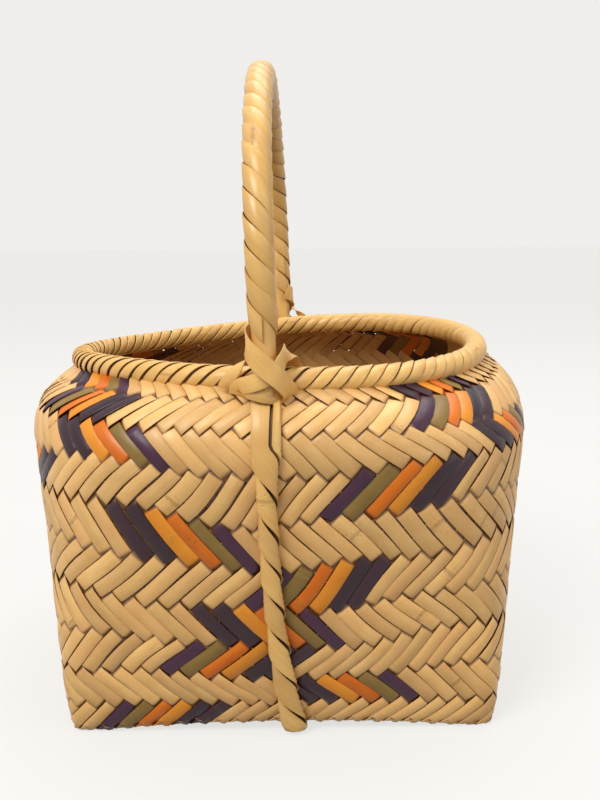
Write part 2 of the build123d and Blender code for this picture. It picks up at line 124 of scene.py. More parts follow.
@dataclass(frozen=True)
class BasketSizes:
    """Driving sizes of rim and handle as the solids have them, before the basket settles."""

    rim_radius: float = 73.6
    rim_height: float = 119.0
    hoop_radius: float = 3.1
    binding_build: float = 0.912
    core_radius: float = 3.6
    handle_top: float = 223.0
    soft_gap: float = 0.35
    run_gap: float = 0.3
    neck_tuck: float = 0.2

    @property
    def tube_radius(self) -> float:
        """Radius of the bound rim's section."""
        return self.hoop_radius + self.binding_build

    @property
    def neck_radius(self) -> float:
        """Radius of the body's round neck."""
        return self.rim_radius + self.tube_radius + self.soft_gap

    @property
    def neck_height(self) -> float:
        """Height of the body's neck."""
        return self.rim_height - self.tube_radius + self.neck_tuck

    @property
    def leg_axis(self) -> float:
        """Distance of a leg's middle line from the upright axis."""
        return self.rim_radius + self.tube_radius + self.run_gap + self.core_radius

    @property
    def leg_foot(self) -> float:
        """Height of the legs' ends."""
        return self.neck_height + self.run_gap


@dataclass(frozen=True)
class Stance:
    """How the handle stands on the rim: each leg is a little to one side of the middle."""

    leg_axis: float
    front_shift: float = -4.0
    back_shift: float = 0.8

    def leg_turn(self, end: End) -> float:
        """Turn about the upright axis that takes the middle of the front to a leg.

        Args:
            end: which leg.

        Returns:
            The turn in radians, an arc sine of the leg's shift over its distance from the axis.
        """
        if end is End.FRONT:
            return math.asin(self.front_shift / self.leg_axis)
        return math.pi - math.asin(self.back_shift / self.leg_axis)

    def turned(self, points: Array, turn: float) -> Array:
        """Points turned about the upright axis.

        Args:
            points: places as rows of x, y and z.
            turn: turn in radians, anticlockwise from above.

        Returns:
            The turned places.
        """
        x, y, z = points[..., 0], points[..., 1], points[..., 2]
        cosine, sine = math.cos(turn), math.sin(turn)
        return np.stack([x * cosine - y * sine, x * sine + y * cosine, z], axis=-1)

    def handle_placed(self, points: Array) -> Array:
        """Turns and moves points of the handle so that it stands on both its legs' places.

        Args:
            points: places on a handle that stands over the middle.

        Returns:
            The moved places.
        """
        turn = (self.leg_turn(End.FRONT) + self.leg_turn(End.BACK) - math.pi) / 2
        shift = (self.front_shift + self.back_shift) / 2
        return self.turned(points, turn) + np.array([shift, 0.0, 0.0])


@dataclass(frozen=True)
class Settling:
    """How the made basket has settled: its rim tilts and waves, and its handle leans."""

    rim_height: float
    handle_top: float
    blend_start: float = 88.0
    tilt_x: float = 0.026
    tilt_y: float = 0.019
    wave: float = 0.0007
    handle_lean: float = -3.5

    def apply(self, points: Array) -> Array:
        """Moves points as the basket has settled.

        The rise is (tilt_x x + tilt_y y + wave x y) times a smooth step from the blend's start to the rim.
        The handle's shift to the side grows in proportion to the height above the rim.

        Args:
            points: places as rows of x, y and z.

        Returns:
            The settled places.
        """
        x, y, z = points[..., 0], points[..., 1], points[..., 2]
        share = smooth_step((z - self.blend_start) / (self.rim_height - self.blend_start))
        rise = self.tilt_x * x + self.tilt_y * y + self.wave * x * y
        above = np.clip((z - self.rim_height) / (self.handle_top - self.rim_height), 0.0, None)
        return np.stack([x + self.handle_lean * above, y, z + rise * share], axis=-1)


@dataclass(frozen=True)
class Profile:
    """A strip's cross-section as a ring of points: shares of its width across, and of its thickness up."""

    across: tuple[float, ...]
    up: tuple[float, ...]

    def columns(self) -> tuple[Array, Array]:
        """The two coordinates as arrays."""
        return np.array(self.across), np.array(self.up)


FLAT_SPLINT = Profile(
    across=(-0.5, -0.5, -0.45, 0.0, 0.45, 0.5, 0.5, 0.0),
    up=(-0.2, 0.2, 0.5, 0.62, 0.5, 0.2, -0.2, -0.4),
)


def swept(
    line: Array, outward: Array, width: Array | float, lift: Array, roll: Array | float = 0.0,
) -> Array:
    """Carries the flat splint's section along a line.

    Across the line runs the cross product of outward and ahead, and the section is rolled about the line.

    Args:
        line: points of the line.
        outward: directions of the splint's face.
        width: its width, or one for each point of the line.
        lift: how far each point of the section lies above the line.
        roll: turn of the section about the line in radians, or one for each point of the line.

    Returns:
        Rings of points.
    """
    ahead = unit(np.gradient(line, axis=0))
    side = unit(np.cross(outward, ahead))
    face = unit(np.cross(ahead, side))
    width = np.broadcast_to(width, len(line))
    roll = np.broadcast_to(roll, len(line))[:, None]
    cosine, sine = np.cos(roll), np.sin(roll)
    side, face = side * cosine + face * sine, face * cosine - side * sine
    across, _ = FLAT_SPLINT.columns()
    sideways = side[:, None, :] * (across[None, :] * width[:, None])[..., None]
    return line[:, None, :] + sideways + face[:, None, :] * lift[None, :, None]


@dataclass
class StripMesh:
    """A mesh that grows by strips, each a row of rings of points, settled and kept above the ground.

    Every point also holds its distance along the strip in millimetres, its place across it from -0.5 to 0.5,
    the strip's own random tone from 0 to 1, and a painted shade mask that is 1 where another strip hides it.
    """

    settling: Settling
    points: list[Array] = field(default_factory=list)
    quads: list[Array] = field(default_factory=list)
    values: list[Array] = field(default_factory=list)
    shades: list[Array] = field(default_factory=list)
    slots: list[Array] = field(default_factory=list)
    size: int = 0

    def add(
        self, rings: Array, across: Array, tone: float, slot: int = 0, closed: bool = False,
        shade: Array | float = 0.0,
    ) -> None:
        """Adds one strip, with its ends closed unless it runs back into itself.

        Args:
            rings: points as stations by points round the ring by 3.
            across: place across the strip of each point of a ring.
            tone: the strip's random tone.
            slot: index of its material.
            closed: whether the last station joins the first.
            shade: one value, or one for each station and each point of its ring.
        """
        stations, ring = rings.shape[:2]
        index = np.arange(stations * ring).reshape(stations, ring)
        first, second = (index, np.roll(index, -1, axis=0)) if closed else (index[:-1], index[1:])
        quads = np.stack([first, second, np.roll(second, -1, axis=1), np.roll(first, -1, axis=1)], axis=-1)
        quads = quads.reshape(-1, 4)
        if not closed:
            quads = np.concatenate([quads, self.caps(index)])
        corners = rings.reshape(-1, 3)[quads]
        volume = np.einsum("ij,ij->", corners[:, 0], np.cross(corners[:, 1] - corners[:, 0], corners[:, 2]))
        volume += np.einsum("ij,ij->", corners[:, 0], np.cross(corners[:, 2] - corners[:, 0], corners[:, 3]))
        if volume < 0:
            quads = quads[:, ::-1]
        middle = rings.mean(axis=1)
        steps = np.linalg.norm(np.diff(middle, axis=0), axis=1)
        along = np.concatenate([[0.0], np.cumsum(steps)])
        value = np.zeros((stations, ring, 3))
        value[..., 0] = along[:, None]
        value[..., 1] = across[None, :]
        value[..., 2] = tone
        settled = self.settling.apply(rings.reshape(-1, 3))
        settled[:, 2] = np.clip(settled[:, 2], 0.0, None)
        self.points.append(settled)
        self.quads.append(quads + self.size)
        self.values.append(value.reshape(-1, 3))
        self.shades.append(np.broadcast_to(shade, (stations, ring)).ravel())
        self.slots.append(np.full(len(quads), slot))
        self.size += stations * ring

    @staticmethod
    def caps(index: Array) -> Array:
        """Four-sided faces that close the first and the last ring.

        Args:
            index: point numbers as stations by points round the ring, an even number of them.

        Returns:
            The faces, turned the same way as the strip's sides.
        """
        half = index.shape[1] // 2
        faces = []
        for ring in (index[0], index[-1][::-1]):
            for step in range(half - 1):
                faces.append([ring[step], ring[step + 1], ring[-step - 2], ring[-step - 1]])
        return np.array(faces)

    def build(self, name: str, crease: float = 38.0) -> bpy.types.Object:
        """Writes the strips to a mesh object.

        Args:
            name: name of the piece.
            crease: angle in degrees past which an edge shows sharp.

        Returns:
            The new object, linked to the scene.
        """
        points, quads = np.concatenate(self.points) / MILLIMETRES, np.concatenate(self.quads)
        mesh = bpy.data.meshes.new(name)
        mesh.vertices.add(len(points))
        mesh.vertices.foreach_set("co", points.astype(np.float32).ravel())
        mesh.loops.add(quads.size)
        mesh.loops.foreach_set("vertex_index", quads.astype(np.int32).ravel())
        mesh.polygons.add(len(quads))
        mesh.polygons.foreach_set("loop_start", np.arange(0, quads.size, 4, dtype=np.int32))
        mesh.polygons.foreach_set("material_index", np.concatenate(self.slots).astype(np.int32))
        mesh.update(calc_edges=True)
        mesh.polygons.foreach_set("use_smooth", np.ones(len(quads), dtype=bool))
        mesh.set_sharp_from_angle(angle=math.radians(crease))
        attribute = mesh.attributes.new(STRIP_ATTRIBUTE, "FLOAT_VECTOR", "POINT")
        attribute.data.foreach_set("vector", np.concatenate(self.values).astype(np.float32).ravel())
        attribute = mesh.attributes.new(SHADE_ATTRIBUTE, "FLOAT", "POINT")
        attribute.data.foreach_set("value", np.concatenate(self.shades).astype(np.float32))
        piece = bpy.data.objects.new(name, mesh)
        bpy.context.scene.collection.objects.link(piece)
        return piece


class NodeSheet:
    """Adds and joins shader nodes in one tree."""

    def __init__(self, tree: bpy.types.NodeTree) -> None:
        """Keeps the tree that the nodes go into."""
        self.tree = tree

    def add(self, kind: str, inputs: dict | None = None, **settings: object) -> bpy.types.Node:
        """Adds a node.

        Args:
            kind: Blender's name of the node's type, without its Shader prefix.
            inputs: values or sockets by input name or number.
            settings: properties of the node.

        Returns:
            The new node.
        """
        prefix = "" if kind.startswith("Node") else "ShaderNode"
        node = self.tree.nodes.new(prefix + kind)
        for name, value in settings.items():
            setattr(node, name, value)
        for name, value in (inputs or {}).items():
            if isinstance(value, bpy.types.NodeSocket):
                self.tree.links.new(value, node.inputs[name])
            else:
                node.inputs[name].default_value = value
        return node

    def math(self, operation: str, first: object, second: object = 0.0) -> bpy.types.NodeSocket:
        """The result of a Math node on two values or sockets."""
        return self.add("Math", {0: first, 1: second}, operation=operation).outputs[0]

    def remap(self, value: object, low: float, high: float, start: float = 0.0, end: float = 1.0) -> object:
        """A value mapped from low..high to start..end and clamped there."""
        inputs = {"Value": value, "From Min": low, "From Max": high, "To Min": start, "To Max": end}
        return self.add("MapRange", inputs).outputs[0]

    def blend(self, share: object, first: object, second: object, mode: str = "MIX") -> bpy.types.NodeSocket:
        """A colour mixed from two.

        Args:
            share: how much of the second, 0 to 1.
            first: colour or socket.
            second: colour or socket.
            mode: blend mode.

        Returns:
            The socket of the mixed colour.
        """
        node = self.add("Mix", {"Factor": share}, data_type="RGBA", blend_type=mode)
        for name, value in (("A", first), ("B", second)):
            socket = next(s for s in node.inputs if s.name == name and s.type == "RGBA")
            if isinstance(value, bpy.types.NodeSocket):
                self.tree.links.new(value, socket)
            else:
                socket.default_value = value
        return next(s for s in node.outputs if s.type == "RGBA")

    def noise(self, vector: object, scale: float, detail: float = 3.0) -> bpy.types.NodeSocket:
        """Noise from 0 to 1 at a place."""
        inputs = {"Vector": vector, "Scale": scale, "Detail": detail, "Roughness": 0.6}
        return self.add("TexNoise", inputs).outputs[0]


def make_group(name: str, inputs: dict[str, float], outputs: dict[str, str]) -> bpy.types.NodeTree:
    """A shader node group with named float inputs and named outputs.

    Args:
        name: name of the group.
        inputs: default values by input name.
        outputs: socket kinds, Float or Color, by output name.

    Returns:
        The group's tree, empty but for its sockets.
    """
    tree = bpy.data.node_groups.new(name, "ShaderNodeTree")
    for label, value in inputs.items():
        tree.interface.new_socket(label, in_out="INPUT", socket_type="NodeSocketFloat").default_value = value
    for label, kind in outputs.items():
        tree.interface.new_socket(label, in_out="OUTPUT", socket_type=f"NodeSocket{kind}")
    return tree


def cane_fibre_group() -> bpy.types.NodeTree:
    """The grain of split cane, read from each strip's own along, across and tone values.

    Returns:
        A group that puts out long streaks, soft blotches, the rings of its joints, its edges and a height.
    """
    tree = make_group(
        "cane_fibre",
        {"Joint Spacing": 150.0, "Streak Stretch": 0.035},
        {"Streak": "Float", "Blotch": "Float", "Joint": "Float", "Fleck": "Float", "Edge": "Float",
         "Height": "Float", "Tone": "Float", "Shade": "Float"},
    )
    sheet = NodeSheet(tree)
    entry, exit_ = sheet.add("NodeGroupInput"), sheet.add("NodeGroupOutput")
    strip = sheet.add("Attribute", attribute_name=STRIP_ATTRIBUTE, attribute_type="GEOMETRY")
    parts = sheet.add("SeparateXYZ", {0: strip.outputs["Vector"]}).outputs
    along, across, tone = parts[0], parts[1], parts[2]
    shift = sheet.math("MULTIPLY", tone, 97.0)

    def place(along_scale: object, across_scale: float) -> bpy.types.NodeSocket:
        """A texture place stretched along the strip, and shifted by its tone so that no two are alike."""
        x = sheet.math("MULTIPLY", along, along_scale)
        y = sheet.math("MULTIPLY", across, across_scale)
        return sheet.add("CombineXYZ", {0: x, 1: y, 2: shift}).outputs[0]

    streak = sheet.noise(place(entry.outputs["Streak Stretch"], 9.0), 1.0, 4.0)
    fine = sheet.noise(place(0.12, 40.0), 1.0, 2.0)
    blotch = sheet.noise(place(0.11, 0.9), 1.0, 4.0)
    spot = sheet.noise(place(1.3, 5.0), 1.0, 3.0)
    turns = sheet.math("ADD", sheet.math("DIVIDE", along, entry.outputs["Joint Spacing"]), shift)
    wander = sheet.math("MULTIPLY", sheet.math("SUBTRACT", spot, 0.5), 0.004)
    part = sheet.math("FRACT", sheet.math("ADD", turns, wander))
    from_joint = sheet.math("ABSOLUTE", sheet.math("SUBTRACT", part, 0.5))
    distance = sheet.math("MULTIPLY", from_joint, entry.outputs["Joint Spacing"])
    joint = sheet.remap(distance, 0.15, 1.0, 1.0, 0.0)
    near = sheet.remap(distance, 0.6, 3.5, 1.0, 0.0)
    fleck = sheet.math("MULTIPLY", near, sheet.remap(spot, 0.58, 0.66))
    stray = sheet.math("MULTIPLY", sheet.remap(blotch, 0.66, 0.76), sheet.remap(spot, 0.66, 0.72))
    fleck = sheet.math("MAXIMUM", fleck, sheet.math("MULTIPLY", stray, 0.5))
    # the painted shade mask: 1 where another strip hides the surface, darkened there as painted shade
    shade = sheet.add("Attribute", attribute_name=SHADE_ATTRIBUTE, attribute_type="GEOMETRY")
    # mask of the strip's edges, where painted shade darkens them towards the deep tone
    edge = sheet.remap(sheet.math("ABSOLUTE", across), 0.40, 0.50)
    height = sheet.math("ADD", sheet.math("MULTIPLY", streak, 0.6), sheet.math("MULTIPLY", fine, 0.25))
    height = sheet.math("ADD", height, sheet.math("MULTIPLY", joint, 0.9))
    results = {"Streak": streak, "Blotch": blotch, "Joint": joint, "Fleck": fleck, "Edge": edge,
               "Height": height, "Tone": tone, "Shade": shade.outputs["Fac"]}
    for label, socket in results.items():
        tree.links.new(socket, exit_.inputs[label])
    return tree


@dataclass(frozen=True)
class CaneFinish:
    """Split cane, plain or dyed: satin skin, long fibres, joints with brown flecks, edges darkened as
    painted shade, and painted shade where other strips hide it.
    """

    name: str
    light: Colour
    deep: Colour
    joint: Colour = (0.62, 0.45, 0.26)
    joint_share: float = 0.5
    fleck: Colour = (0.36, 0.22, 0.11)
    fleck_share: float = 0.6
    edge_shade_share: float = 0.45
    gloss: tuple[float, float] = (0.36, 0.50)
    shine: float = 0.5
    relief: float = 0.12
    relief_depth: float = 0.0006
    tone_spread: float = 0.13
    tan: Colour = (0.80, 0.58, 0.36)
    tan_share: float = 0.45
    # painted shade: a dark brown mixed in by the Shade mask where other strips hide the surface
    painted_shade: Colour = (0.33, 0.17, 0.08)
    painted_shade_share: float = 0.85

    def build(self, fibre: bpy.types.NodeTree) -> bpy.types.Material:
        """Makes the material.

        Args:
            fibre: the cane fibre group.

        Returns:
            The material.
        """
        material = bpy.data.materials.new(self.name)
        material.use_nodes = True
        sheet = NodeSheet(material.node_tree)
        shader = material.node_tree.nodes["Principled BSDF"]
        out = sheet.add("Group", node_tree=fibre).outputs
        streak = sheet.remap(out["Streak"], 0.3, 0.7, 0.0, 0.3)
        blotch = sheet.remap(out["Blotch"], 0.35, 0.7, 0.0, 0.5)
        colour = sheet.blend(sheet.math("ADD", streak, blotch), linear(self.light), linear(self.deep))
        browned = sheet.math("POWER", sheet.math("FRACT", sheet.math("MULTIPLY", out["Tone"], 13.7)), 2.0)
        colour = sheet.blend(sheet.math("MULTIPLY", browned, self.tan_share), colour, linear(self.tan))
        cast = sheet.math("FRACT", sheet.math("MULTIPLY", out["Tone"], 7.31))
        lightness = sheet.remap(cast, 0.0, 1.0, 1 - self.tone_spread, 1 + self.tone_spread)
        grey = sheet.add("CombineColor", {0: lightness, 1: lightness, 2: lightness}).outputs[0]
        colour = sheet.blend(1.0, colour, grey, "MULTIPLY")
        # Edge and Shade mix in painted shade; Joint and Fleck are the cane's own marks
        marks = (("Edge", self.edge_shade_share, self.deep), ("Joint", self.joint_share, self.joint),
                 ("Fleck", self.fleck_share, self.fleck), ("Shade", self.painted_shade_share, self.painted_shade))
        for mask, share, mark in marks:
            colour = sheet.blend(sheet.math("MULTIPLY", out[mask], share), colour, linear(mark))
        bump_inputs = {"Height": out["Height"], "Strength": self.relief, "Distance": self.relief_depth}
        bump = sheet.add("Bump", bump_inputs)
        links = material.node_tree.links
        links.new(colour, shader.inputs["Base Color"])
        links.new(sheet.remap(out["Blotch"], 0.3, 0.7, *self.gloss), shader.inputs["Roughness"])
        links.new(bump.outputs[0], shader.inputs["Normal"])
        shader.inputs["Specular IOR Level"].default_value = self.shine
        return material


@dataclass
class Finishes:
    """Every finish on the basket, made once."""

    fibre: bpy.types.NodeTree = field(default_factory=cane_fibre_group)
    dyes: list[Dye] = field(default_factory=lambda: list(Dye))

    def __post_init__(self) -> None:
        """Makes the materials."""
        self.splints = [
            CaneFinish(f"cane_{dye.name.lower()}", *dye.value, **self.dyed(dye)).build(self.fibre)
            for dye in self.dyes
        ]
        self.binding = CaneFinish(
            "cane_binding", (0.905, 0.730, 0.430), (0.800, 0.600, 0.300),
            gloss=(0.30, 0.42), tone_spread=0.08, tan_share=0.25,
        ).build(self.fibre)
        # hoops and weave edge are coloured dark brown as painted shade, for the gaps between the binding
        # strips
        self.core = CaneFinish(
            "cane_core_painted_shade", (0.340, 0.220, 0.120), (0.220, 0.130, 0.070), gloss=(0.5, 0.65),
        ).build(self.fibre)

    @staticmethod
    def dyed(dye: Dye) -> dict:
        """The values that differ between plain and dyed cane.

        Args:
            dye: the splint's dye.

        Returns:
            Fields of the finish by name.
        """
        if dye is Dye.NATURAL:
            return {}
        spread = 0.22 if dye in (Dye.DARK, Dye.PURPLE) else 0.12
        light, _ = dye.value
        return {"joint": tuple(0.8 * c + 0.1 for c in light), "fleck": (0.20, 0.13, 0.09),
                "fleck_share": 0.35, "gloss": (0.30, 0.46), "shine": 0.4, "tone_spread": spread,
                "tan_share": 0.0}

    def splint_slot(self, dye: Dye) -> int:
        """Number of a dye's material on the woven pieces."""
        return self.dyes.index(dye)


def dress(
    piece: bpy.types.Object, materials: list[bpy.types.Material], replaced: list[str],
) -> None:
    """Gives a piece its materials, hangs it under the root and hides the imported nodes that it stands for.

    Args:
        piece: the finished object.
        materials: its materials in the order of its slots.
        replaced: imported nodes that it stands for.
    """
    for material in materials:
        piece.data.materials.append(material)
    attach(piece, "root")
    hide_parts(*replaced)
    log.info("%s: %d faces", piece.name, len(piece.data.polygons))


@dataclass(frozen=True)
class Wave:
    """A slow sine over the wall: how many go round the basket, and its millimetres up for each radian."""

    count: int
    rise: float
    phase: float = 0.0
    share: float = 1.0

    def at(self, place: Array, height: Array) -> Array:
        """The sine of count quarter turns a side plus the height over the rise plus the phase."""
        return self.share * np.sin(self.count * place * TURN / 4 + height / self.rise + self.phase)


@dataclass(frozen=True)
class WallShape:
    """Outside of the plaited body: a rounded square that swells from the foot and closes to a round neck.

    A place is the side, 0 front, 1 right, 2 back, 3 left, plus the share along it, seen from outside.
    An advance counts splint widths up the wall from the fold at the foot, and is negative under the base.
    """

    shoulder_half: float
    neck_radius: float
    neck_height: float
    rim_radius: float
    rim_height: float
    foot_half: float = 70.2
    shoulder_height: float = 95.0
    foot_corner: float = 5.0
    shoulder_corner: float = 60.0
    bulge: float = 3.2
    foot_bulge: float = 0.5
    foot_lift: float = 3.0
    corner_foot: float = 9.0
    swell_power: float = 0.8
    rounding_power: float = 1.5
    closing_power: float = 3.0
    splints_per_side: int = 22
    splint_pitch: float = 4.7
    pitch_swing: float = 0.07
    neck_crowding: float = 0.20
    crowding_start: float = 0.85
    edge_tuck: float = 0.8
    steepest_lean: float = 0.97
    row_sag: float = 7.0
    row_wave: float = 0.8
    sag_full: float = 45.0
    sag_end: float = 80.0
    sag_fade: float = 33.0
    drift: float = 0.010
    drift_full: float = 30.0
    fold: float = 0.3
    foot_blend: float = 4.0
    table_steps: int = 600

    ROW_WAVES = (Wave(7, -13.0), Wave(11, 9.0, 2.0))
    PLACE_WAVES = (Wave(5, 17.0, 1.3), Wave(13, -11.0, share=0.3))

    def closing(self, height: Array) -> Array:
        """Share of the way up from the shoulder to the neck, 0 below and 1 above."""
        share = (height - self.shoulder_height) / (self.neck_height - self.shoulder_height)
        return np.clip(share, 0.0, 1.0)

    def half_width(self, height: Array) -> Array:
        """Half width at the middle of a side: a power of the height up to the shoulder, then a cubic fall.

        Args:
            height: heights above the ground.

        Returns:
            Half widths.
        """
        rise = np.clip(height / self.shoulder_height, 0.0, 1.0)
        low = self.foot_half + (self.shoulder_half - self.foot_half) * rise ** self.swell_power
        closed = self.closing(height) ** self.closing_power
        high = self.neck_radius + (self.shoulder_half - self.neck_radius) * (1 - closed)
        tuck = np.clip(height - self.neck_height, 0.0, None)
        slope = (self.neck_radius - self.rim_radius) / (self.rim_height - self.neck_height)
        return np.where(height <= self.shoulder_height, low, high) - tuck * slope

    def outline(self, height: Array) -> tuple[Array, Array, Array, Array, Array]:
        """The arcs of the section at each height.

        Args:
            height: heights above the ground.

        Returns:
            Half width, corner radius, corner centre, side arc radius and half the side arc's angle.
        """
        half = self.half_width(height)
        rise = np.clip(height / self.shoulder_height, 0.0, 1.0)
        low = self.foot_corner + (self.shoulder_corner - self.foot_corner) * rise ** self.rounding_power
        high = self.shoulder_corner + (self.neck_radius - self.shoulder_corner) * self.closing(height)
        share = np.clip(height / self.neck_height, 0.0, 1.0)
        bulge = self.bulge * np.sin(math.pi * share) + self.foot_bulge * (1 - share) + 1e-4
        radius = np.minimum(np.where(height <= self.shoulder_height, low, high), half - bulge - 1e-3)
        corner = half - radius - bulge
        arc = (corner ** 2 + (radius + bulge) ** 2 - radius ** 2) / (2 * bulge)
        angle = np.clip(np.arctan2(corner, corner - half + arc), 0.0, 0.7)
        return half, radius, (arc - radius) * np.sin(angle), arc, angle

    def perimeter(self, height: Array) -> Array:
        """Length round the section: four side arcs and four corner arcs."""
        _, radius, _, arc, angle = self.outline(height)
        return 4 * (2 * arc * angle + radius * (math.pi / 2 - 2 * angle))

    def turned(self, side: Array, outward: Array, along: Array, height: Array) -> Array:
        """Points given outward from the middle and along a side, turned to that side.

        Args:
            side: number of the side, 0 for the front.
            outward: distances from the upright axis.
            along: distances to the right along the side, seen from outside.
            height: heights above the ground.

        Returns:
            Points.
        """
        bearing = -math.pi / 2 + side * math.pi / 2
        x = outward * np.cos(bearing) - along * np.sin(bearing)
        y = outward * np.sin(bearing) + along * np.cos(bearing)
        return np.stack([x, y, height], axis=-1)

    def wall_point(self, place: Array, height: Array) -> Array:
        """Points on the wall, equal steps of place being equal lengths round the section.

        Args:
            place: side plus share along it.
            height: heights above the ground.

        Returns:
            Points.
        """
        side = np.floor(place)
        half, radius, corner, arc, angle = self.outline(height)
        corner_length = radius * (math.pi / 4 - angle)
        side_length = 2 * arc * angle
        distance = (place - side) * (2 * corner_length + side_length)
        before = -math.pi / 4 + distance / radius
        middle = -angle + (distance - corner_length) / arc
        after = angle + (distance - corner_length - side_length) / radius
        in_before = distance < corner_length
        in_after = distance > corner_length + side_length
        turn = np.where(in_before, before, np.where(in_after, after, middle))
        sign = np.where(in_before, -1.0, 1.0)
        at_corner = in_before | in_after
        outward = np.where(at_corner, corner + radius * np.cos(turn), half - arc + arc * np.cos(turn))
        along = np.where(at_corner, sign * corner + radius * np.sin(turn), arc * np.sin(turn))
        return self.turned(side, outward, along, height)

    def vault(self, offset: Array) -> Array:
        """Height of the shallow arch between the corner feet, a parabola across the side."""
        half_span = self.foot_half - self.corner_foot
        return self.foot_lift * np.clip(1 - (offset / half_span) ** 2, 0.0, None)

    def base_point(self, place: Array, advance: Array) -> Array:
        """Points under the base: along the side by the place, and in from its edge by the advance.

        Args:
            place: side plus share along it.
            advance: splint widths from the fold, negative under the base.

        Returns:
            Points, raised by the shallow arches of both directions.
        """
        side = np.floor(place)
        step = 2 * self.foot_half / self.splints_per_side
        along = (place - side - 0.5) * 2 * self.foot_half
        outward = self.foot_half + advance * step
        return self.turned(side, outward, along, np.maximum(self.vault(along), self.vault(outward)))

    def pitch_at(self, height: Array) -> Array:
        """Pitch across the splints: close at the foot, wide under the shoulder, and crowded at the neck.

        Args:
            height: heights above the ground.

        Returns:
            Pitches.
        """
        widest = self.shoulder_height * self.crowding_start
        swing = -self.pitch_swing * np.cos(math.pi * np.clip(height / widest, 0.0, 1.0))
        crowding = smooth_step((height - widest) / (self.neck_height - widest))
        return self.splint_pitch * (1 + swing) * (1 - self.neck_crowding * crowding)

    def advance_table(self) -> tuple[Array, Array]:
        """Advance against height.

        A splint's lean has a sine of its pitch over the room that each has round the section. The advance
        grows by the cosine of the lean over the pitch for each millimetre up the wall.

        Returns:
            Advances and heights.
        """
        height = np.linspace(0.0, self.rim_height - self.edge_tuck, self.table_steps)
        step = np.hypot(np.diff(height), np.diff(self.half_width(height)))
        room = self.perimeter(height) / (4 * self.splints_per_side)
        pitch = self.pitch_at(height)
        lean = np.clip(pitch / room, 0.0, self.steepest_lean)
        rate = np.sqrt(1 - lean ** 2) / pitch
        advance = np.concatenate([[0.0], np.cumsum((rate[1:] + rate[:-1]) / 2 * step)])
        return advance, height

    def sag(self, place: Array, height: Array) -> Array:
        """How much higher a row lies than on average: it hangs in the middle of a side, not at the corners.

        It is the sag times half less the squared sine of half a turn a side, and fades out at foot and neck.
        Two slow sines make the rows uneven besides.

        Args:
            place: side plus share along it.
            height: heights above the ground.

        Returns:
            Rises, negative in the middle of a side.
        """
        fade = smooth_step(height / self.sag_full)
        fade = fade * (1 - smooth_step((height - self.sag_end) / self.sag_fade))
        uneven = sum(wave.at(place, height) for wave in self.ROW_WAVES)
        return (self.row_sag * (0.5 - np.sin(math.pi * place) ** 2) + self.row_wave * uneven) * fade

    def point(self, place: Array, advance: Array, table: tuple[Array, Array]) -> Array:
        """Points on the whole outside: wall and base joined by a rounded fold.

        The fold is a quadratic curve from the base, by the sharp edge, to the wall. Up the wall the places
        slide to and fro by slow sines, as hand plaiting does.

        Args:
            place: side plus share along it.
            advance: splint widths up from the fold.
            table: advance against height.

        Returns:
            Points.
        """
        offset = (place - np.floor(place) - 0.5) * 2 * self.foot_half
        lift = self.vault(offset)
        high_advance = np.maximum(advance, self.fold)
        height = np.interp(high_advance, *table)
        raised = lift * np.clip(1 - high_advance / self.foot_blend, 0.0, 1.0) ** 1.5
        height = height + self.sag(place, height) + raised
        slide = sum(wave.at(place, height) for wave in self.PLACE_WAVES)
        high = self.wall_point(place + self.drift * slide * smooth_step(height / self.drift_full), height)
        low = self.base_point(place, np.minimum(advance, -self.fold))
        edge = self.wall_point(place, lift)
        share = np.clip((advance + self.fold) / (2 * self.fold), 0.0, 1.0)[..., None]
        return (1 - share) ** 2 * low + 2 * share * (1 - share) * edge + share ** 2 * high

    def facing(
        self, place: Array, advance: Array, lean: int, table: tuple[Array, Array],
    ) -> tuple[Array, Array]:
        """Outward unit normals and the room that a splint has, from small steps round and up.

        The normal is the cross product of the two steps. The room is the step to the next splint of the same
        family, less its part along the splint.

        Args:
            place: side plus share along it.
            advance: splint widths up from the fold.
            lean: 1 where the splint leans to the right as it climbs, -1 where it leans to the left.
            table: advance against height.

        Returns:
            Normals, and distances between the middle lines of neighbours.
        """
        round_step, up_step = 1.8e-3, 0.03
        side = np.floor(place)
        place = side + np.clip(place - side, 1.1 * round_step, 1 - 1.1 * round_step)
        right, left = (self.point(place + step, advance, table) for step in (round_step, -round_step))
        above, below = (self.point(place, advance + step, table) for step in (up_step, -up_step))
        across, up = right - left, above - below
        across = across / (2 * round_step * self.splints_per_side)
        ahead = unit(up / (2 * up_step) + lean * across)
        return unit(np.cross(across, up)), np.linalg.norm(np.cross(across, ahead), axis=-1)


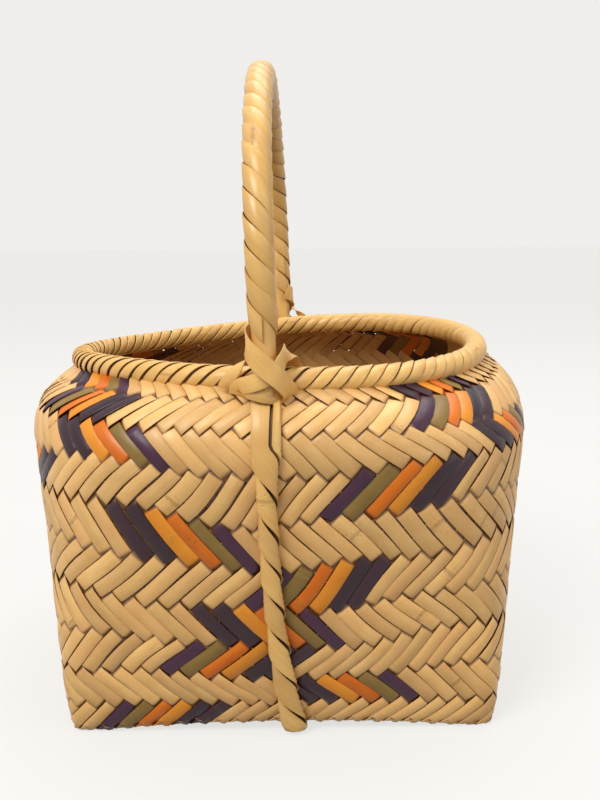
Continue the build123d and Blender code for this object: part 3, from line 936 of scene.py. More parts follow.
@dataclass
class SplintWeave:
    """The twill of the body: 88 splints that each climb one wall, cross the base and climb the next."""

    shape: WallShape
    finishes: Finishes
    settling: Settling
    width_share: float = 0.94
    width_spread: float = 0.045
    thickness: float = 0.50
    lift: float = 0.36
    float_bulge: float = 0.20
    bend_width: float = 0.36
    bend_shift: float = 0.13
    middle_depth: float = 0.74
    float_length: int = 4
    first_bend: float = -16.25
    wander_along: float = 0.16
    wander_rates: tuple[float, float] = (0.9, 2.1)
    wander_out: float = 0.07
    wander_out_rate: float = 1.3
    roll: float = 0.05
    roll_rates: tuple[float, float] = (31, 57)
    widest_draw: float = 1.5
    room_share: float = 0.7
    neck_start: float = 86.0
    neck_blend: float = 12.0
    neck_widening: float = 0.04
    neck_shingle: float = 0.08
    inner_painted_shade: float = 0.35

    # Dyes of a band in order along the foot, where the band starts on each side, and steps from a bend
    BAND = (Dye.PURPLE, Dye.OLIVE, Dye.ORANGE, Dye.PALE_ORANGE, Dye.DARK, Dye.DARK)
    BAND_STARTS = (1, 2, 2, 2)
    NEAR_BEND = (-0.17, -0.11, -0.05, 0.0, 0.05, 0.11, 0.17)
    ALONG_FLOAT = (0.55, 1.0, 1.45)

    def __post_init__(self) -> None:
        """Works out the advance table and the random source."""
        self.table = self.shape.advance_table()
        self.top = self.table[0][-1]
        self.random = np.random.default_rng(SEED)

    def on_top(self, crossing: Array) -> Array:
        """One at a crossing where the splint that climbs to the right lies on top, else minus one."""
        return np.where(np.mod(crossing, 2 * self.float_length) < self.float_length, 1.0, -1.0)

    def stations(self, depth: int) -> Array:
        """Advances where a splint's line needs points: close together where it bends, few along a float.

        Args:
            depth: the splint's number from the start of its side, which sets how far it runs under the base.

        Returns:
            Advances from the middle of its run under the base up to the rim.
        """
        lowest = -(depth + 0.5) / 2
        bends = np.arange(self.first_bend, self.top + 2, self.float_length / 2)
        steps = np.array(self.NEAR_BEND + self.ALONG_FLOAT)
        knots = (bends[:, None] + steps[None, :]).ravel()
        folds = np.array([-1.0, -0.5, 0.0, 0.5, 1.0]) * self.shape.fold
        ends = lowest + np.array([0.0, 0.05, 0.11, 0.17])
        knots = np.unique(np.round(np.concatenate([knots, folds, ends, [self.top]]), 4))
        return knots[(knots >= lowest - 1e-6) & (knots <= self.top)]

    def height(self, advance: Array, depth: int, lean: Lean) -> Array:
        """Height of a splint's middle above the middle of the weave.

        Between two crossings it is a smooth step from one side to the other, and a float bulges by a cosine.

        Args:
            advance: places along the splint.
            depth: number of its last crossing under the base on this half.
            lean: which family it is in.

        Returns:
            Heights, outward.
        """
        crossing = 2 * advance
        below = np.floor(crossing)
        past_last = -self.on_top(np.full_like(below, -depth))
        first = np.where(below < -depth, past_last, self.on_top(below)) * lean.value
        second = self.on_top(below + 1) * lean.value
        centre = 0.5 - self.bend_shift * (first - second) / 2
        share = smooth_step((crossing - below - centre) / self.bend_width + 0.5)
        bulge = np.cos(math.pi * (crossing - 1.5) / self.float_length) * lean.value
        bulge = np.where(advance > 0.4, bulge, 0.0)
        return self.lift * (first + (second - first) * share) + self.float_bulge * np.clip(bulge, 0.0, 1.0)

    def half_line(self, side: int, index: int, depth: int, lean: Lean) -> tuple[Array, Array, Array, Array]:
        """Half of a splint, from the middle of its run under the base up one wall.

        The place round the basket is side + (index + 0.5 + advance) / 22 for a rising splint and
        side + (index + 0.5 - advance) / 22 for a falling one.

        Args:
            side: side whose wall it climbs.
            index: its number along the foot of that side.
            depth: number of its last crossing under the base on this half.
            lean: which way it leans.

        Returns:
            Points of its middle line, outward directions, 1 where it lies on top down to 0 below it, and
            its room.
        """
        advance = self.stations(depth)
        drift = self.random.normal(0.0, 1.0, 3)
        slow, quick = self.wander_rates
        wave = np.sin(advance * slow + drift[0] * 3) + 0.6 * np.sin(advance * quick + drift[1] * 5)
        fade = smooth_step(advance / 2)
        shift = self.wander_along / self.shape.splint_pitch * wave * 0.5 * fade
        place = side + (index + 0.5 + lean.value * advance + shift) / self.shape.splints_per_side
        point = self.shape.point(place, advance, self.table)
        outward, room = self.shape.facing(place, advance, lean.value, self.table)
        height = self.height(advance, depth, lean)
        top = smooth_step(0.35 + 0.65 * height / self.lift)
        out = self.wander_out * np.sin(advance * self.wander_out_rate + drift[2] * 4) * fade
        height = height + out - self.middle_depth
        return point + outward * height[:, None], outward, top, room

    def dye(self, side: int, index: int) -> Dye:
        """Dye of a splint by its side and its number along the foot."""
        place = index - self.BAND_STARTS[side]
        return self.BAND[place] if 0 <= place < len(self.BAND) else Dye.NATURAL

    def build(self) -> None:
        """Builds the two families of splints, each as one piece."""
        materials = self.finishes.splints
        for parity, name in ((0, "body_splints_rising"), (1, "body_splints_falling")):
            mesh = StripMesh(self.settling)
            for side in (parity, parity + 2):
                for index in range(self.shape.splints_per_side):
                    self.add_splint(mesh, side, index)
            dress(mesh.build(name), materials, ["woven_body"])

    def add_splint(self, mesh: StripMesh, side: int, index: int) -> None:
        """Adds one splint: it climbs its own side to the right, and the side before it to the left.

        Args:
            mesh: the mesh that it goes into.
            side: side that it climbs to the right.
            index: its number along the foot of that side.
        """
        last = self.shape.splints_per_side - 1
        right = self.half_line(side, index, index, Lean.RISING)
        left = self.half_line((side - 1) % 4, last - index, index, Lean.FALLING)
        line, outward, top, room = (np.concatenate([up[::-1], down[1:]]) for up, down in zip(right, left))
        steps = np.arange(len(line)) / len(line)
        phase = self.random.random(2) * TURN
        slow, quick = self.roll_rates
        roll = self.roll * (np.sin(steps * slow + phase[0]) + np.sin(steps * quick + phase[1]))
        draw = np.clip(self.random.normal(), -self.widest_draw, self.widest_draw)
        share = self.width_share * (1 + self.width_spread * draw)
        near_neck = smooth_step((line[:, 2] - self.neck_start) / self.neck_blend)
        roll = roll + self.neck_shingle * near_neck
        share = share * (1 + self.neck_widening * near_neck)
        width = share * (self.room_share * room + (1 - self.room_share) * self.shape.splint_pitch)
        slot = self.finishes.splint_slot(self.dye(side, index))
        tone = float(self.random.random())
        across, up = FLAT_SPLINT.columns()
        top = top[:, None]
        # painted shade: outer faces darken where the splint runs under the crossing one; inner faces carry a
        # base painted shade for the shadowed inside of the basket, full where the splint lies on top outside
        shade = np.where(up[None, :] > 0, 1 - top, self.inner_painted_shade + (1 - self.inner_painted_shade) * top)
        mesh.add(swept(line, outward, width, up * self.thickness, roll), across, tone, slot, shade=shade)


@dataclass
class BoundRim:
    """The rim: two half round hoops over the edge of the weave, bound by four strips wound side by side."""

    radius: float
    height: float
    hoop_radius: float
    finishes: Finishes
    settling: Settling
    stance: Stance
    edge_half: float = 0.75
    edge_reach: float = 2.7
    seat: float = 0.15
    strips: int = 4
    turns: int = 22
    thickness: float = 0.5
    gap: float = 0.07
    gap_swing: float = 0.17
    widest_gap: float = math.radians(-150.0)
    tilt: float = 0.42
    tilt_swing: float = 0.5
    width_swing: float = 0.065
    place_swing: float = 0.06
    hoop_tone: float = 0.4
    steps_per_turn: int = 22
    hoop_steps: int = 220
    hoop_facets: int = 10

    def __post_init__(self) -> None:
        """Sets the radius of the binding's middle and the random source."""
        self.winding_radius = self.hoop_radius + self.seat + self.thickness * 0.75
        self.random = np.random.default_rng(SEED + 1)

    def tube_point(self, around: Array, angle: Array, reach: Array) -> Array:
        """Points about the rim's middle line: reach cos(angle) outward and reach sin(angle) up from it."""
        out, up = self.radius + reach * np.cos(angle), self.height + reach * np.sin(angle)
        return np.stack([out * np.cos(around), out * np.sin(around), up], axis=-1)

    def ring_of(self, outward: Array, up: Array, name: str, replaced: str) -> None:
        """A ring turned from a closed profile about the upright axis.

        Args:
            outward: the profile's distances outward from the rim's middle line.
            up: its heights above that line.
            name: name of the piece.
            replaced: the node that it stands for.
        """
        around = np.linspace(0.0, TURN, self.hoop_steps, endpoint=False)[:, None]
        reach = self.radius + outward[None, :]
        height = np.broadcast_to(self.height + up[None, :], (self.hoop_steps, len(up)))
        rings = np.stack([reach * np.cos(around), reach * np.sin(around), height], axis=-1)
        mesh = StripMesh(self.settling)
        across = (up - up.mean()) / max(float(np.ptp(up)), 1e-6)
        mesh.add(rings, across, self.hoop_tone, closed=True)
        dress(mesh.build(name), [self.finishes.core], [replaced])

    def build(self) -> None:
        """Builds the hoops, the edge of the weave between them, and the binding."""
        flat = self.edge_half + self.seat
        end = math.acos(flat / self.hoop_radius)
        angle = np.linspace(-end, end, self.hoop_facets)
        outward, up = self.hoop_radius * np.cos(angle), self.hoop_radius * np.sin(angle)
        self.ring_of(outward, up, "rim_hoop_outer", "rim_outer_hoop")
        self.ring_of(-outward, up, "rim_hoop_inner", "rim_inner_hoop")
        edge = np.array([-1.0, 1.0, 1.0, -1.0]) * self.edge_half
        sides = np.array([-1.0, -1.0, 1.0, 1.0]) * self.edge_reach
        self.ring_of(edge, sides, "rim_weave_edge", "woven_edge")
        for strip in range(self.strips):
            self.binding_strip(strip)

    def binding_strip(self, strip: int) -> None:
        """Builds one strip, wound left-handed from the front leg round to it again.

        At turn t the strip is t / 22 of a circle round the rim, and at t whole turns about its middle line.
        Its section lies along the rim, one edge raised over its neighbour. Its gap is widest at the front
        left, low on the rim's outside.

        Args:
            strip: number of the strip.
        """
        pitch = TURN / (self.strips * self.turns)
        count = self.steps_per_turn * self.turns - self.steps_per_turn // self.strips
        turn = np.arange(count + 1) / self.steps_per_turn
        around = -math.pi / 2 + pitch + TURN * turn / self.turns
        angle = TURN * (turn - strip / self.strips) + math.pi
        phase = self.random.random(4) * TURN
        uneven = 0.5 * np.sin(2.7 * turn + phase[0]) + 0.5 * np.sin(7.1 * turn + phase[1])
        across, up = FLAT_SPLINT.columns()
        opened = (1 + np.cos(around - self.widest_gap)) / 2 * ((1 + np.cos(angle + math.pi / 4)) / 2) ** 2
        opened = opened * (1 + 0.5 * np.sin(5.3 * turn + phase[1]))
        width = pitch * (1 - self.gap - self.gap_swing * opened) * (1 + self.width_swing * uneven)
        shift = pitch * self.place_swing * np.sin(4.3 * turn + phase[2])
        tilt = self.tilt * (1 + self.tilt_swing * np.sin(3.3 * turn + phase[3]))
        place = around[:, None] + shift[:, None] + across[None, :] * width[:, None]
        reach = self.winding_radius + up[None, :] * self.thickness + tilt[:, None] * across[None, :]
        rings = self.tube_point(place, np.broadcast_to(angle[:, None], place.shape), reach)
        mesh = StripMesh(self.settling)
        rings = self.stance.turned(rings, self.stance.leg_turn(End.FRONT))
        mesh.add(rings, across, float(self.random.random()))
        replaced = [f"rim_lashing_{strip + 1}"]
        dress(mesh.build(f"rim_binding_{strip + 1}"), [self.finishes.binding], replaced)


@dataclass
class BowHandle:
    """The handle: two half round splints bent to a three centred arch and wound with three strips."""

    foot_height: float
    top_height: float
    rim_height: float
    finishes: Finishes
    settling: Settling
    stance: Stance
    core_radius: float = 3.6
    haunch_radius: float = 60.0
    haunch_angle: float = math.radians(50.0)
    strips: int = 3
    turns: int = 11
    thickness: float = 0.5
    gap: float = 0.03
    tilt: float = 0.5
    tilt_swing: float = 0.4
    width_swings: tuple[float, float] = (0.03, 0.02)
    place_swing: float = 0.035
    start_above_rim: float = 12.5
    winding_radius: float = 4.2
    steps_per_turn: int = 24
    core_facets: int = 10
    core_step: float = 2.5
    core_split: float = 0.03

    def __post_init__(self) -> None:
        """Works out the arch's lengths."""
        angle = self.haunch_angle
        self.crown_top = self.top_height - self.winding_radius - self.thickness / 2
        haunch_reach = self.stance.leg_axis - self.haunch_radius * (1 - math.cos(angle))
        self.crown_radius = haunch_reach / math.cos(angle)
        rise = self.haunch_radius * math.sin(angle) + self.crown_radius * (1 - math.sin(angle))
        self.leg_top = self.crown_top - rise
        self.leg = self.leg_top - self.foot_height
        self.haunch = self.haunch_radius * angle
        self.length = 2 * (self.leg + self.haunch + self.crown_radius * (math.pi / 2 - angle))
        self.random = np.random.default_rng(SEED + 2)

    def station(self, distance: Array) -> tuple[Array, Array]:
        """Points on the middle line and outward directions.

        The line is a straight leg, an arc of the haunch radius, one of the crown radius, and their mirror.

        Args:
            distance: distances from the front foot.

        Returns:
            Points and unit directions away from the arch's middle.
        """
        near = np.minimum(distance, self.length - distance)
        side = np.where(distance <= self.length / 2, -1.0, 1.0)
        haunch_angle = np.clip((near - self.leg) / self.haunch_radius, 0.0, self.haunch_angle)
        crown_angle = self.haunch_angle + (near - self.leg - self.haunch) / self.crown_radius
        across = self.stance.leg_axis - self.haunch_radius * (1 - np.cos(haunch_angle))
        height = self.leg_top + self.haunch_radius * np.sin(haunch_angle)
        height = np.where(near <= self.leg, self.foot_height + near, height)
        in_crown = near > self.leg + self.haunch
        across = np.where(in_crown, self.crown_radius * np.cos(crown_angle), across)
        height = np.where(in_crown, self.crown_top - self.crown_radius * (1 - np.sin(crown_angle)), height)
        angle = np.where(in_crown, crown_angle, haunch_angle)
        point = np.stack([np.zeros_like(across), side * across, height], axis=-1)
        return point, np.stack([np.zeros_like(angle), side * np.cos(angle), np.sin(angle)], axis=-1)

    def around(self, distance: Array, angle: Array, reach: Array) -> Array:
        """Points about the middle line: reach cos(angle) outward and reach sin(angle) to the right.

        Args:
            distance: distances from the front foot.
            angle: angles about the line, from outward to the right.
            reach: distances from the line.

        Returns:
            Points on the handle as it stands.
        """
        point, outward = self.station(distance)
        out, sideways = (reach * np.cos(angle))[..., None], (reach * np.sin(angle))[..., None]
        return self.stance.handle_placed(point + outward * out + np.array([1.0, 0.0, 0.0]) * sideways)

    def core_half(self, side: int, name: str, replaced: str) -> None:
        """Builds one half round splint of the core. Where the strips hide it, it is shaded.

        Args:
            side: 1 for the one outside the arch, -1 for the one inside it.
            name: name of the piece.
            replaced: the node that it stands for.
        """
        distance = np.linspace(0.0, self.length, int(self.length / self.core_step))
        quarter = math.pi / 2 - self.core_split
        turn = np.linspace(-quarter, quarter, self.core_facets) + (0 if side > 0 else math.pi)
        grid = np.broadcast_to(distance[:, None], (len(distance), self.core_facets))
        rings = self.around(grid, np.broadcast_to(turn, grid.shape), np.full(grid.shape, self.core_radius))
        # painted shade on the core where the winding hides it, starting one pitch past the first wrap
        wound = self.rim_height + self.start_above_rim - self.foot_height
        wound += self.length / (self.strips * self.turns)
        shade = (np.minimum(distance, self.length - distance) > wound).astype(float)[:, None]
        mesh = StripMesh(self.settling)
        mesh.add(rings, np.linspace(-0.5, 0.5, self.core_facets), 0.3 + 0.2 * side, shade=shade)
        dress(mesh.build(name), [self.finishes.binding], [replaced])

    def wrap_strip(self, strip: int) -> None:
        """Builds one strip, wound left-handed from the front leg over to the back one.

        At share s of its length the strip is s of the way along the handle and -11 s turns about it.

        Args:
            strip: number of the strip.
        """
        first = self.rim_height + self.start_above_rim - self.foot_height
        length = self.length - 2 * first
        pitch = length / (self.strips * self.turns + 1)
        count = self.steps_per_turn * self.turns
        share = np.arange(count + 1) / count
        middle = first + pitch / 2 + (length - pitch) * share
        angle = -TURN * (self.turns * share + strip / self.strips)
        phase = self.random.random(4) * TURN
        slow, quick = self.width_swings
        uneven = 1 + slow * np.sin(23 * share + phase[0]) + quick * np.sin(61 * share + phase[1])
        width = pitch * (1 - self.gap) * uneven
        shift = pitch * self.place_swing * np.sin(37 * share + phase[2])
        tilt = self.tilt * (1 + self.tilt_swing * np.sin(17 * share + phase[3]))
        across, up = FLAT_SPLINT.columns()
        place = middle[:, None] + shift[:, None] + across[None, :] * width[:, None]
        reach = self.winding_radius + up[None, :] * self.thickness + tilt[:, None] * across[None, :]
        rings = self.around(place, np.broadcast_to(angle[:, None], place.shape), reach)
        mesh = StripMesh(self.settling)
        mesh.add(rings, across, float(self.random.random()))
        replaced = [f"handle_wrap_{strip + 1}"]
        dress(mesh.build(f"handle_winding_{strip + 1}"), [self.finishes.binding], replaced)

    def build(self) -> None:
        """Builds the core's two halves and the strips wound over them."""
        self.core_half(1, "handle_core_outer", "handle_outer_splint")
        self.core_half(-1, "handle_core_inner", "handle_inner_splint")
        for strip in range(self.strips):
            self.wrap_strip(strip)


@dataclass(frozen=True)
class Route:
    """A strap's route beside the joint of leg and rim.

    Its points are steps to the right, outward and up from the rim's middle line, in radii of the bound rim.
    """

    name: str
    width: float
    layer: float
    points: tuple[tuple[float, float, float], ...]


@dataclass
class LegJoint:
    """Straps that tie a leg of the handle to the rim, and the band that gathers the splints below."""

    shape: WallShape
    tube_radius: float
    leg_radius: float
    finishes: Finishes
    settling: Settling
    stance: Stance
    thickness: float = 0.5
    clearance: float = 0.35
    layer_step: float = 0.75
    steps: int = 8
    band_width: float = 4.4
    band_drop: float = -0.7
    band_half: float = 6.2
    band_shift: float = -1.2
    band_reach: float = 7.7
    band_slope: float = -0.20
    band_past_half: float = 0.10
    band_steps: int = 40

    ROUTES = (
        Route("cross_strap_falling", 6.6, 1.0, (
            (-0.5, 0.95, 3.8), (-1.15, 1.55, 3.35), (-1.15, 2.5, 2.75), (-0.65, 3.07, 2.15),
            (0.0, 3.27, 1.5), (0.85, 3.05, 0.75), (1.4, 2.5, 0.05), (1.7, 1.8, -0.6), (1.7, 1.35, -1.0),
        )),
        Route("cross_strap_rising", 5.2, 0.0, (
            (-2.2, 1.3, -1.0), (-2.1, 1.6, -0.5), (-1.6, 2.12, -0.2), (-0.9, 2.82, 0.1), (0.0, 3.02, 0.55),
            (0.85, 2.85, 1.1), (1.25, 2.5, 1.75), (1.5, 1.8, 2.2), (1.65, 0.9, 2.25), (1.8, 0.0, 1.8),
            (1.9, -0.8, 1.2), (1.95, -1.25, 0.3), (1.95, -1.3, -0.5),
        )),
        Route("side_tie", 3.6, 0.0, (
            (-1.15, 1.57, 1.85), (-1.65, 1.52, 1.3), (-2.35, 1.42, 0.65), (-2.9, 1.32, 0.05),
            (-3.25, 1.17, -0.45),
        )),
    )

    def __post_init__(self) -> None:
        """Starts the random source."""
        self.random = np.random.default_rng(SEED + 3)

    def smooth_line(self, points: Array) -> Array:
        """Points on a smooth curve through given ones, each stretch a cubic set by its four nearest points.

        Args:
            points: points that the curve passes.

        Returns:
            Points at equal shares of each stretch.
        """
        padded = np.concatenate([[2 * points[0] - points[1]], points, [2 * points[-1] - points[-2]]])
        before, start, end, after = (padded[k:len(padded) - 3 + k, None, :] for k in range(4))
        part = (np.arange(self.steps) / self.steps)[None, :, None]
        pull = (end - before) * part + (2 * before - 5 * start + 4 * end - after) * part ** 2
        pull = pull + (3 * start - before - 3 * end + after) * part ** 3
        return np.concatenate([(start + pull / 2).reshape(-1, 3), points[-1:]])

    def clear_of(self, line: Array, clearance: float) -> tuple[Array, Array]:
        """Moves a line clear of the front leg and the bound rim.

        Args:
            line: points of the strap's underside.
            clearance: least distance from either surface.

        Returns:
            The moved points, and the directions away from both.
        """
        leg = line + np.array([0.0, self.stance.leg_axis, 0.0])
        leg[:, 2] = 0.0
        rim = line - np.array([0.0, -self.shape.rim_radius, self.shape.rim_height])
        rim[:, 0] = 0.0
        leg_length = np.linalg.norm(leg, axis=1, keepdims=True)
        rim_length = np.linalg.norm(rim, axis=1, keepdims=True)
        line = line + unit(leg) * np.clip(self.leg_radius + clearance - leg_length, 0.0, None)
        line = line + unit(rim) * np.clip(self.tube_radius + clearance - rim_length, 0.0, None)
        leg_pull = 1 / (np.clip(leg_length - self.leg_radius, 0.0, None) + 1) ** 2
        rim_pull = 1 / (np.clip(rim_length - self.tube_radius, 0.0, None) + 1) ** 2
        return line, unit(unit(leg) * leg_pull + unit(rim) * rim_pull)

    def carry(self, line: Array, outward: Array, width: float) -> Array:
        """Rings of a flat strap whose underside follows a line."""
        _, up = FLAT_SPLINT.columns()
        return swept(line, outward, width, (up + 0.5) * self.thickness)

    def band_line(self) -> tuple[Array, Array]:
        """The band over the gathered splints: a little more than half an ellipse.

        Returns:
            Points of its line, and outward directions.
        """
        angle = np.linspace(-self.band_past_half, math.pi + self.band_past_half, self.band_steps)
        height = self.shape.neck_height - self.band_drop
        half = float(self.shape.half_width(np.array(height)))
        line = np.stack([
            self.band_shift + self.band_half * np.cos(angle), -half - self.band_reach * np.sin(angle),
            height + self.band_slope * self.band_half * np.cos(angle),
        ], axis=-1)
        outward = np.stack([
            np.cos(angle) * self.band_reach, -np.sin(angle) * self.band_half, 0 * angle,
        ], axis=-1)
        return line, unit(outward)

    def piece(self, end: End, name: str, rings: Array) -> None:
        """Makes one strap of one leg.

        Args:
            end: which leg.
            name: what the strap is called.
            rings: its points as they lie in the middle of the front.
        """
        mesh = StripMesh(self.settling)
        rings = self.stance.turned(rings, self.stance.leg_turn(end))
        mesh.add(rings, FLAT_SPLINT.columns()[0], float(self.random.random()))
        label = f"{end.value}_{name}"
        dress(mesh.build(f"{label}_strip"), [self.finishes.binding], [label])

    def build(self) -> None:
        """Builds the straps and the band of both legs."""
        crossing = np.array([0.0, -self.shape.rim_radius, self.shape.rim_height])
        outward_axes = np.array([1.0, -1.0, 1.0])
        for end in End:
            for route in self.ROUTES:
                line = self.smooth_line(crossing + np.array(route.points) * outward_axes * self.tube_radius)
                line, outward = self.clear_of(line, self.clearance + route.layer * self.layer_step)
                self.piece(end, route.name, self.carry(line, outward, route.width))
            line, outward = self.band_line()
            self.piece(end, "neck_band", self.carry(line, outward, self.band_width))


@dataclass
class TwistedStrand:
    """Two splints from under a leg of the handle, twisted together down the wall and under the foot."""

    shape: WallShape
    finishes: Finishes
    settling: Settling
    stance: Stance
    top_half: float = 4.1
    middle_half: float = 2.8
    foot_half: float = 3.7
    top_depth: float = 0.9
    depth: float = 1.7
    foot_depth: float = 0.95
    gap: float = 0.3
    top_drop: float = 1.0
    straight_height: float = 100.0
    pitch: float = 26.5
    edge_lift: float = 0.8
    slit: float = 0.10
    foot_shift: float = 4.8
    shift_power: float = 3.0
    thickness: float = 0.6
    base_half_depth: float = 1.05
    base_gap: float = 0.3
    base_rows: int = 60
    cover: float = math.radians(84.0)
    base_cover: float = math.radians(86.0)
    start_turn: float = -0.5
    twist_swing: float = 0.25
    flat_share: float = 0.8
    straight_blend: float = 16.0
    foot_spread_height: float = 45.0
    slope_steps: int = 400
    rows: int = 90
    half_ring: int = 6
    tuck: float = 4.0

    def __post_init__(self) -> None:
        """Starts the random source."""
        self.random = np.random.default_rng(SEED + 4)

    @staticmethod
    def there_and_back(values: Array) -> Array:
        """Values over a splint's outer face, and the same back over its inner one."""
        return np.concatenate([values, values[::-1]])

    @property
    def across(self) -> Array:
        """Place across the splint of each point of its ring."""
        return self.there_and_back(np.linspace(-0.5, 0.5, self.half_ring))

    def middle(self, share: Array, top_shift: float) -> tuple[Array, Array, Array]:
        """Line down the front wall and round the foot's edge.

        Args:
            share: 0 at the rim, 1 at the end under the foot.
            top_shift: sideways place under the handle's leg.

        Returns:
            Heights for the line down the wall, points on the wall's outside, and outward directions.
        """
        top = self.shape.neck_height - self.top_drop
        edge_height = self.shape.foot_lift
        wall_length = top - edge_height
        total = wall_length + 2 * self.tuck
        distance = share * total
        height = np.clip(top - distance, edge_height, None)
        under = np.clip(distance - wall_length, 0.0, None)
        half = self.shape.half_width(height)
        fall = 1 - np.clip(height / self.shape.neck_height, 0.0, 1.0)
        sideways = top_shift + (self.foot_shift - top_shift) * fall ** self.shift_power
        turn = np.clip(under / self.tuck, 0.0, 1.0) * math.pi / 2
        levels = np.linspace(0, top, self.slope_steps)
        lean = np.interp(height, levels, np.gradient(self.shape.half_width(levels), levels))
        outward = np.stack([0 * height, -np.cos(turn), -np.sin(turn) - lean * np.cos(turn)], axis=-1)
        inward = np.clip(under - self.tuck, 0.0, None)
        point = np.stack([sideways, -half + inward, height], axis=-1)
        return height, point, unit(outward)

    def ply(self, number: int, top_shift: float) -> Array:
        """Rings of one of the two splints.

        The strand's section is an ellipse. Each splint covers nearly half of it, as far as the cover on
        either side of an angle that turns with the distance, and stands still near the rim, where the two
        lie side by side. Round the foot's edge the ellipse is flatter.

        Args:
            number: 0 or 1.
            top_shift: sideways place under the handle's leg.

        Returns:
            Rings of points.
        """
        share = np.linspace(0.0, 1.0, self.rows)
        height, point, outward = self.middle(share, top_shift)
        low = smooth_step((self.straight_height - height) / self.straight_blend)
        foot = smooth_step((self.foot_spread_height - height) / self.foot_spread_height)
        half = self.top_half + (self.middle_half - self.top_half) * low
        half = half + (self.foot_half - self.middle_half) * foot
        under = np.clip((-outward[:, 2] - 0.3) / 0.7, 0.0, 1.0)
        depth = self.top_depth + (self.depth - self.top_depth) * low
        depth = depth + (self.foot_depth - depth) * under
        line = point + outward * (depth + self.gap)[:, None]
        steps = np.linalg.norm(np.diff(line, axis=0), axis=1)
        along = np.concatenate([[0.0], np.cumsum(steps)])
        start = float(np.interp(self.straight_height, height[::-1], along[::-1]))
        twist = -TURN * np.clip(along - start, 0.0, None) / self.pitch
        twist = twist + self.twist_swing * np.sin(along / 17.0)
        centre = twist + (0.0 if number else math.pi) + self.start_turn
        angle = self.there_and_back(np.linspace(-1.0, 1.0, self.half_ring) * self.cover)
        spread = 1 - self.slit * (0.5 + 0.5 * np.sin(along / 6.1 + 2 * number)) * low
        lift = np.repeat([0.5, -0.5], self.half_ring) * self.thickness
        raised = self.edge_lift * self.across[None, :] * (1 - self.flat_share * under)[:, None]
        lift = lift[None, :] + raised
        turn = centre[:, None] + angle[None, :] * spread[:, None]
        right = np.array([1.0, 0.0, 0.0])
        reach_x = (half[:, None] + lift) * np.cos(turn)
        reach_out = (depth[:, None] + lift) * np.sin(turn)
        return line[:, None, :] + right * reach_x[..., None] + outward[:, None, :] * reach_out[..., None]

    def build(self) -> None:
        """Builds both wall strands and the run under the foot."""
        # painted shade on the inner half of each splint's ring, so the slits between the plies read dark
        inner = np.repeat([0.0, 1.0], self.half_ring)[None, :]
        shifts = (self.stance.front_shift, self.stance.back_shift)
        for name, flip, top_shift in zip(("front_strand", "back_strand"), (1.0, -1.0), shifts):
            mesh = StripMesh(self.settling)
            for number in range(2):
                rings = self.ply(number, top_shift) * np.array([1.0, flip, 1.0])
                mesh.add(rings, self.across, float(self.random.random()), shade=inner)
            dress(mesh.build(f"{name}_twist"), [self.finishes.binding], [name])
        self.base_run()

    def base_run(self) -> None:
        """Builds the strand's straight run under the foot, as two twisted splints on an ellipse."""
        low, high = box_mm("base_strand")
        y = np.linspace(low[1], high[1], self.base_rows)
        middle = (low + high) / 2
        mesh = StripMesh(self.settling)
        angle = self.there_and_back(np.linspace(-1.0, 1.0, self.half_ring) * self.base_cover)
        lift = np.repeat([0.25, -0.25], self.half_ring) * self.thickness
        for number in range(2):
            turn = (TURN * (y - y[0]) / self.pitch + math.pi * number)[:, None] + angle[None, :]
            x = middle[0] + (self.middle_half + lift) * np.cos(turn)
            z = middle[2] + (self.base_half_depth - self.base_gap + lift) * np.sin(turn)
            rings = np.stack([x, np.broadcast_to(y[:, None], x.shape), z], axis=-1)
            mesh.add(rings, self.across, float(self.random.random()))
        dress(mesh.build("base_strand_twist"), [self.finishes.binding], ["base_strand"])


def stand(
    thing: bpy.types.Object, axes: tuple[Array, Array, Array], place: tuple[float, float, float],
) -> None:
    """Turns an object to three axes, puts it in its place and links it to the scene.

    Args:
        thing: camera or lamp.
        axes: its right, its up and the direction behind it.
        place: where it stands.
    """
    matrix = np.eye(4)
    matrix[:3, :3], matrix[:3, 3] = np.stack(axes, axis=1), place
    thing.matrix_world = Matrix(matrix.tolist())
    bpy.context.scene.collection.objects.link(thing)


@dataclass(frozen=True)
class Lamp:
    """A square soft lamp, with its place and side in metres and its power in watts."""

    name: str
    place: tuple[float, float, float]
    size: float
    power: float

    def build(self, target: tuple[float, float, float]) -> None:
        """Adds the lamp, aimed at the target."""
        data = bpy.data.lights.new(self.name, "AREA")
        data.size, data.energy = self.size, self.power
        away = unit(np.array(self.place) - np.array(target))
        right = unit(np.cross([0.0, 0.0, 1.0], away))
        stand(bpy.data.objects.new(self.name, data), (right, np.cross(away, right), away), self.place)


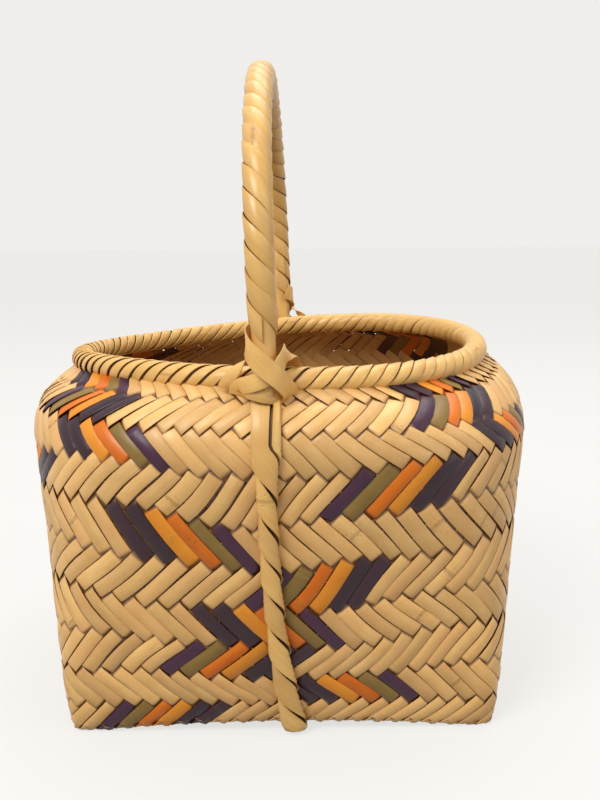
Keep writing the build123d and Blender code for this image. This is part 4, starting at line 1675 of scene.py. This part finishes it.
@dataclass(frozen=True)
class Studio:
    """Floor, backdrop, lamps and the camera at the photograph's angle, in metres."""

    camera_place: tuple[float, float, float] = (0.002, -0.365, 0.161)
    pitch: float = math.radians(9.71)
    yaw: float = math.radians(0.86)
    roll: float = math.radians(-0.43)
    lens: float = 43.16
    sensor: float = 36.0
    floor_half: float = 12.0
    floor_colour: Colour = (0.47, 0.465, 0.455)
    floor_paleness: float = 0.82
    surround: Colour = (0.94, 0.935, 0.925)
    surround_light: float = 0.60
    lamp_target: tuple[float, float, float] = (0.0, 0.0, 0.09)

    LAMPS = (
        Lamp("key", (-0.55, -0.75, 0.95), 0.6, 12.0),
        Lamp("fill", (0.9, -0.5, 0.55), 0.9, 2.7),
        Lamp("top", (0.1, 0.35, 1.1), 0.8, 5.8),
    )

    def camera(self) -> None:
        """Adds the camera: forward from pitch and yaw, then rolled about it."""
        level = math.cos(self.pitch)
        forward = np.array([math.sin(self.yaw) * level, math.cos(self.yaw) * level, -math.sin(self.pitch)])
        right = unit(np.cross(forward, [0.0, 0.0, 1.0]))
        up = np.cross(right, forward)
        cosine, sine = math.cos(self.roll), math.sin(self.roll)
        right, up = cosine * right + sine * up, cosine * up - sine * right
        data = bpy.data.cameras.new("camera")
        data.lens, data.sensor_width, data.sensor_fit = self.lens, self.sensor, "AUTO"
        data.clip_start = 0.01
        camera = bpy.data.objects.new("camera", data)
        stand(camera, (right, up, -forward), self.camera_place)
        bpy.context.scene.camera = camera

    def seen(self, sheet: NodeSheet) -> bpy.types.NodeSocket:
        """One for what is seen straight on, in a reflection or through glass, else zero.

        Args:
            sheet: the node tree that asks.

        Returns:
            The socket of the mask.
        """
        path = sheet.add("LightPath")
        seen = sheet.math("MAXIMUM", path.outputs["Is Camera Ray"], path.outputs["Is Glossy Ray"])
        return sheet.math("MAXIMUM", seen, path.outputs["Is Transmission Ray"])

    def floor(self) -> None:
        """Adds a plain pale floor, near white to the camera, with the basket's own soft shadow on it."""
        corners = np.array([(-1, -1, 0), (1, -1, 0), (1, 1, 0), (-1, 1, 0)]) * self.floor_half
        mesh = bpy.data.meshes.new("floor")
        mesh.from_pydata(corners.tolist(), [], [(0, 1, 2, 3)])
        floor = bpy.data.objects.new("floor", mesh)
        bpy.context.scene.collection.objects.link(floor)
        material = bpy.data.materials.new("floor_plain")
        material.use_nodes = True
        shader = material.node_tree.nodes["Principled BSDF"]
        shader.inputs["Base Color"].default_value = linear(self.floor_colour)
        shader.inputs["Roughness"].default_value = 0.9
        shader.inputs["Specular IOR Level"].default_value = 0.1
        shader.inputs["Emission Color"].default_value = linear(self.surround)
        sheet = NodeSheet(material.node_tree)
        paleness = sheet.math("MULTIPLY", self.seen(sheet), self.floor_paleness)
        material.node_tree.links.new(paleness, shader.inputs["Emission Strength"])
        mesh.materials.append(material)

    def world(self) -> None:
        """Sets a soft even surround that shows near white behind the basket."""
        world = bpy.data.worlds.new("surround")
        world.use_nodes = True
        bpy.context.scene.world = world
        sheet = NodeSheet(world.node_tree)
        background = world.node_tree.nodes["Background"]
        background.inputs["Color"].default_value = linear(self.surround)
        strength = sheet.remap(self.seen(sheet), 0.0, 1.0, self.surround_light, 1.0)
        world.node_tree.links.new(strength, background.inputs["Strength"])

    def build(self) -> None:
        """Sets up the whole stage."""
        self.camera()
        self.floor()
        self.world()
        for lamp in self.LAMPS:
            lamp.build(self.lamp_target)
        bpy.context.scene.view_settings.view_transform = "Standard"


def main() -> None:
    """Builds every part of the basket in order and reports each piece."""
    logging.basicConfig(level=logging.INFO, format="%(message)s")
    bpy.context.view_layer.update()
    body_low, body_high = box_mm("woven_body")
    shoulder_half = float(body_high[0] - body_low[0]) / 2
    sizes = BasketSizes()
    settling = Settling(sizes.rim_height, sizes.handle_top)
    stance = Stance(sizes.leg_axis)
    finishes = Finishes()
    shape = WallShape(
        shoulder_half, sizes.neck_radius, sizes.neck_height, sizes.rim_radius, sizes.rim_height,
    )
    Studio().build()
    SplintWeave(shape, finishes, settling).build()
    BoundRim(sizes.rim_radius, sizes.rim_height, sizes.hoop_radius, finishes, settling, stance).build()
    BowHandle(sizes.leg_foot, sizes.handle_top, sizes.rim_height, finishes, settling, stance).build()
    LegJoint(shape, sizes.tube_radius, sizes.core_radius, finishes, settling, stance).build()
    TwistedStrand(shape, finishes, settling, stance).build()


if __name__ == "__main__":
    main()
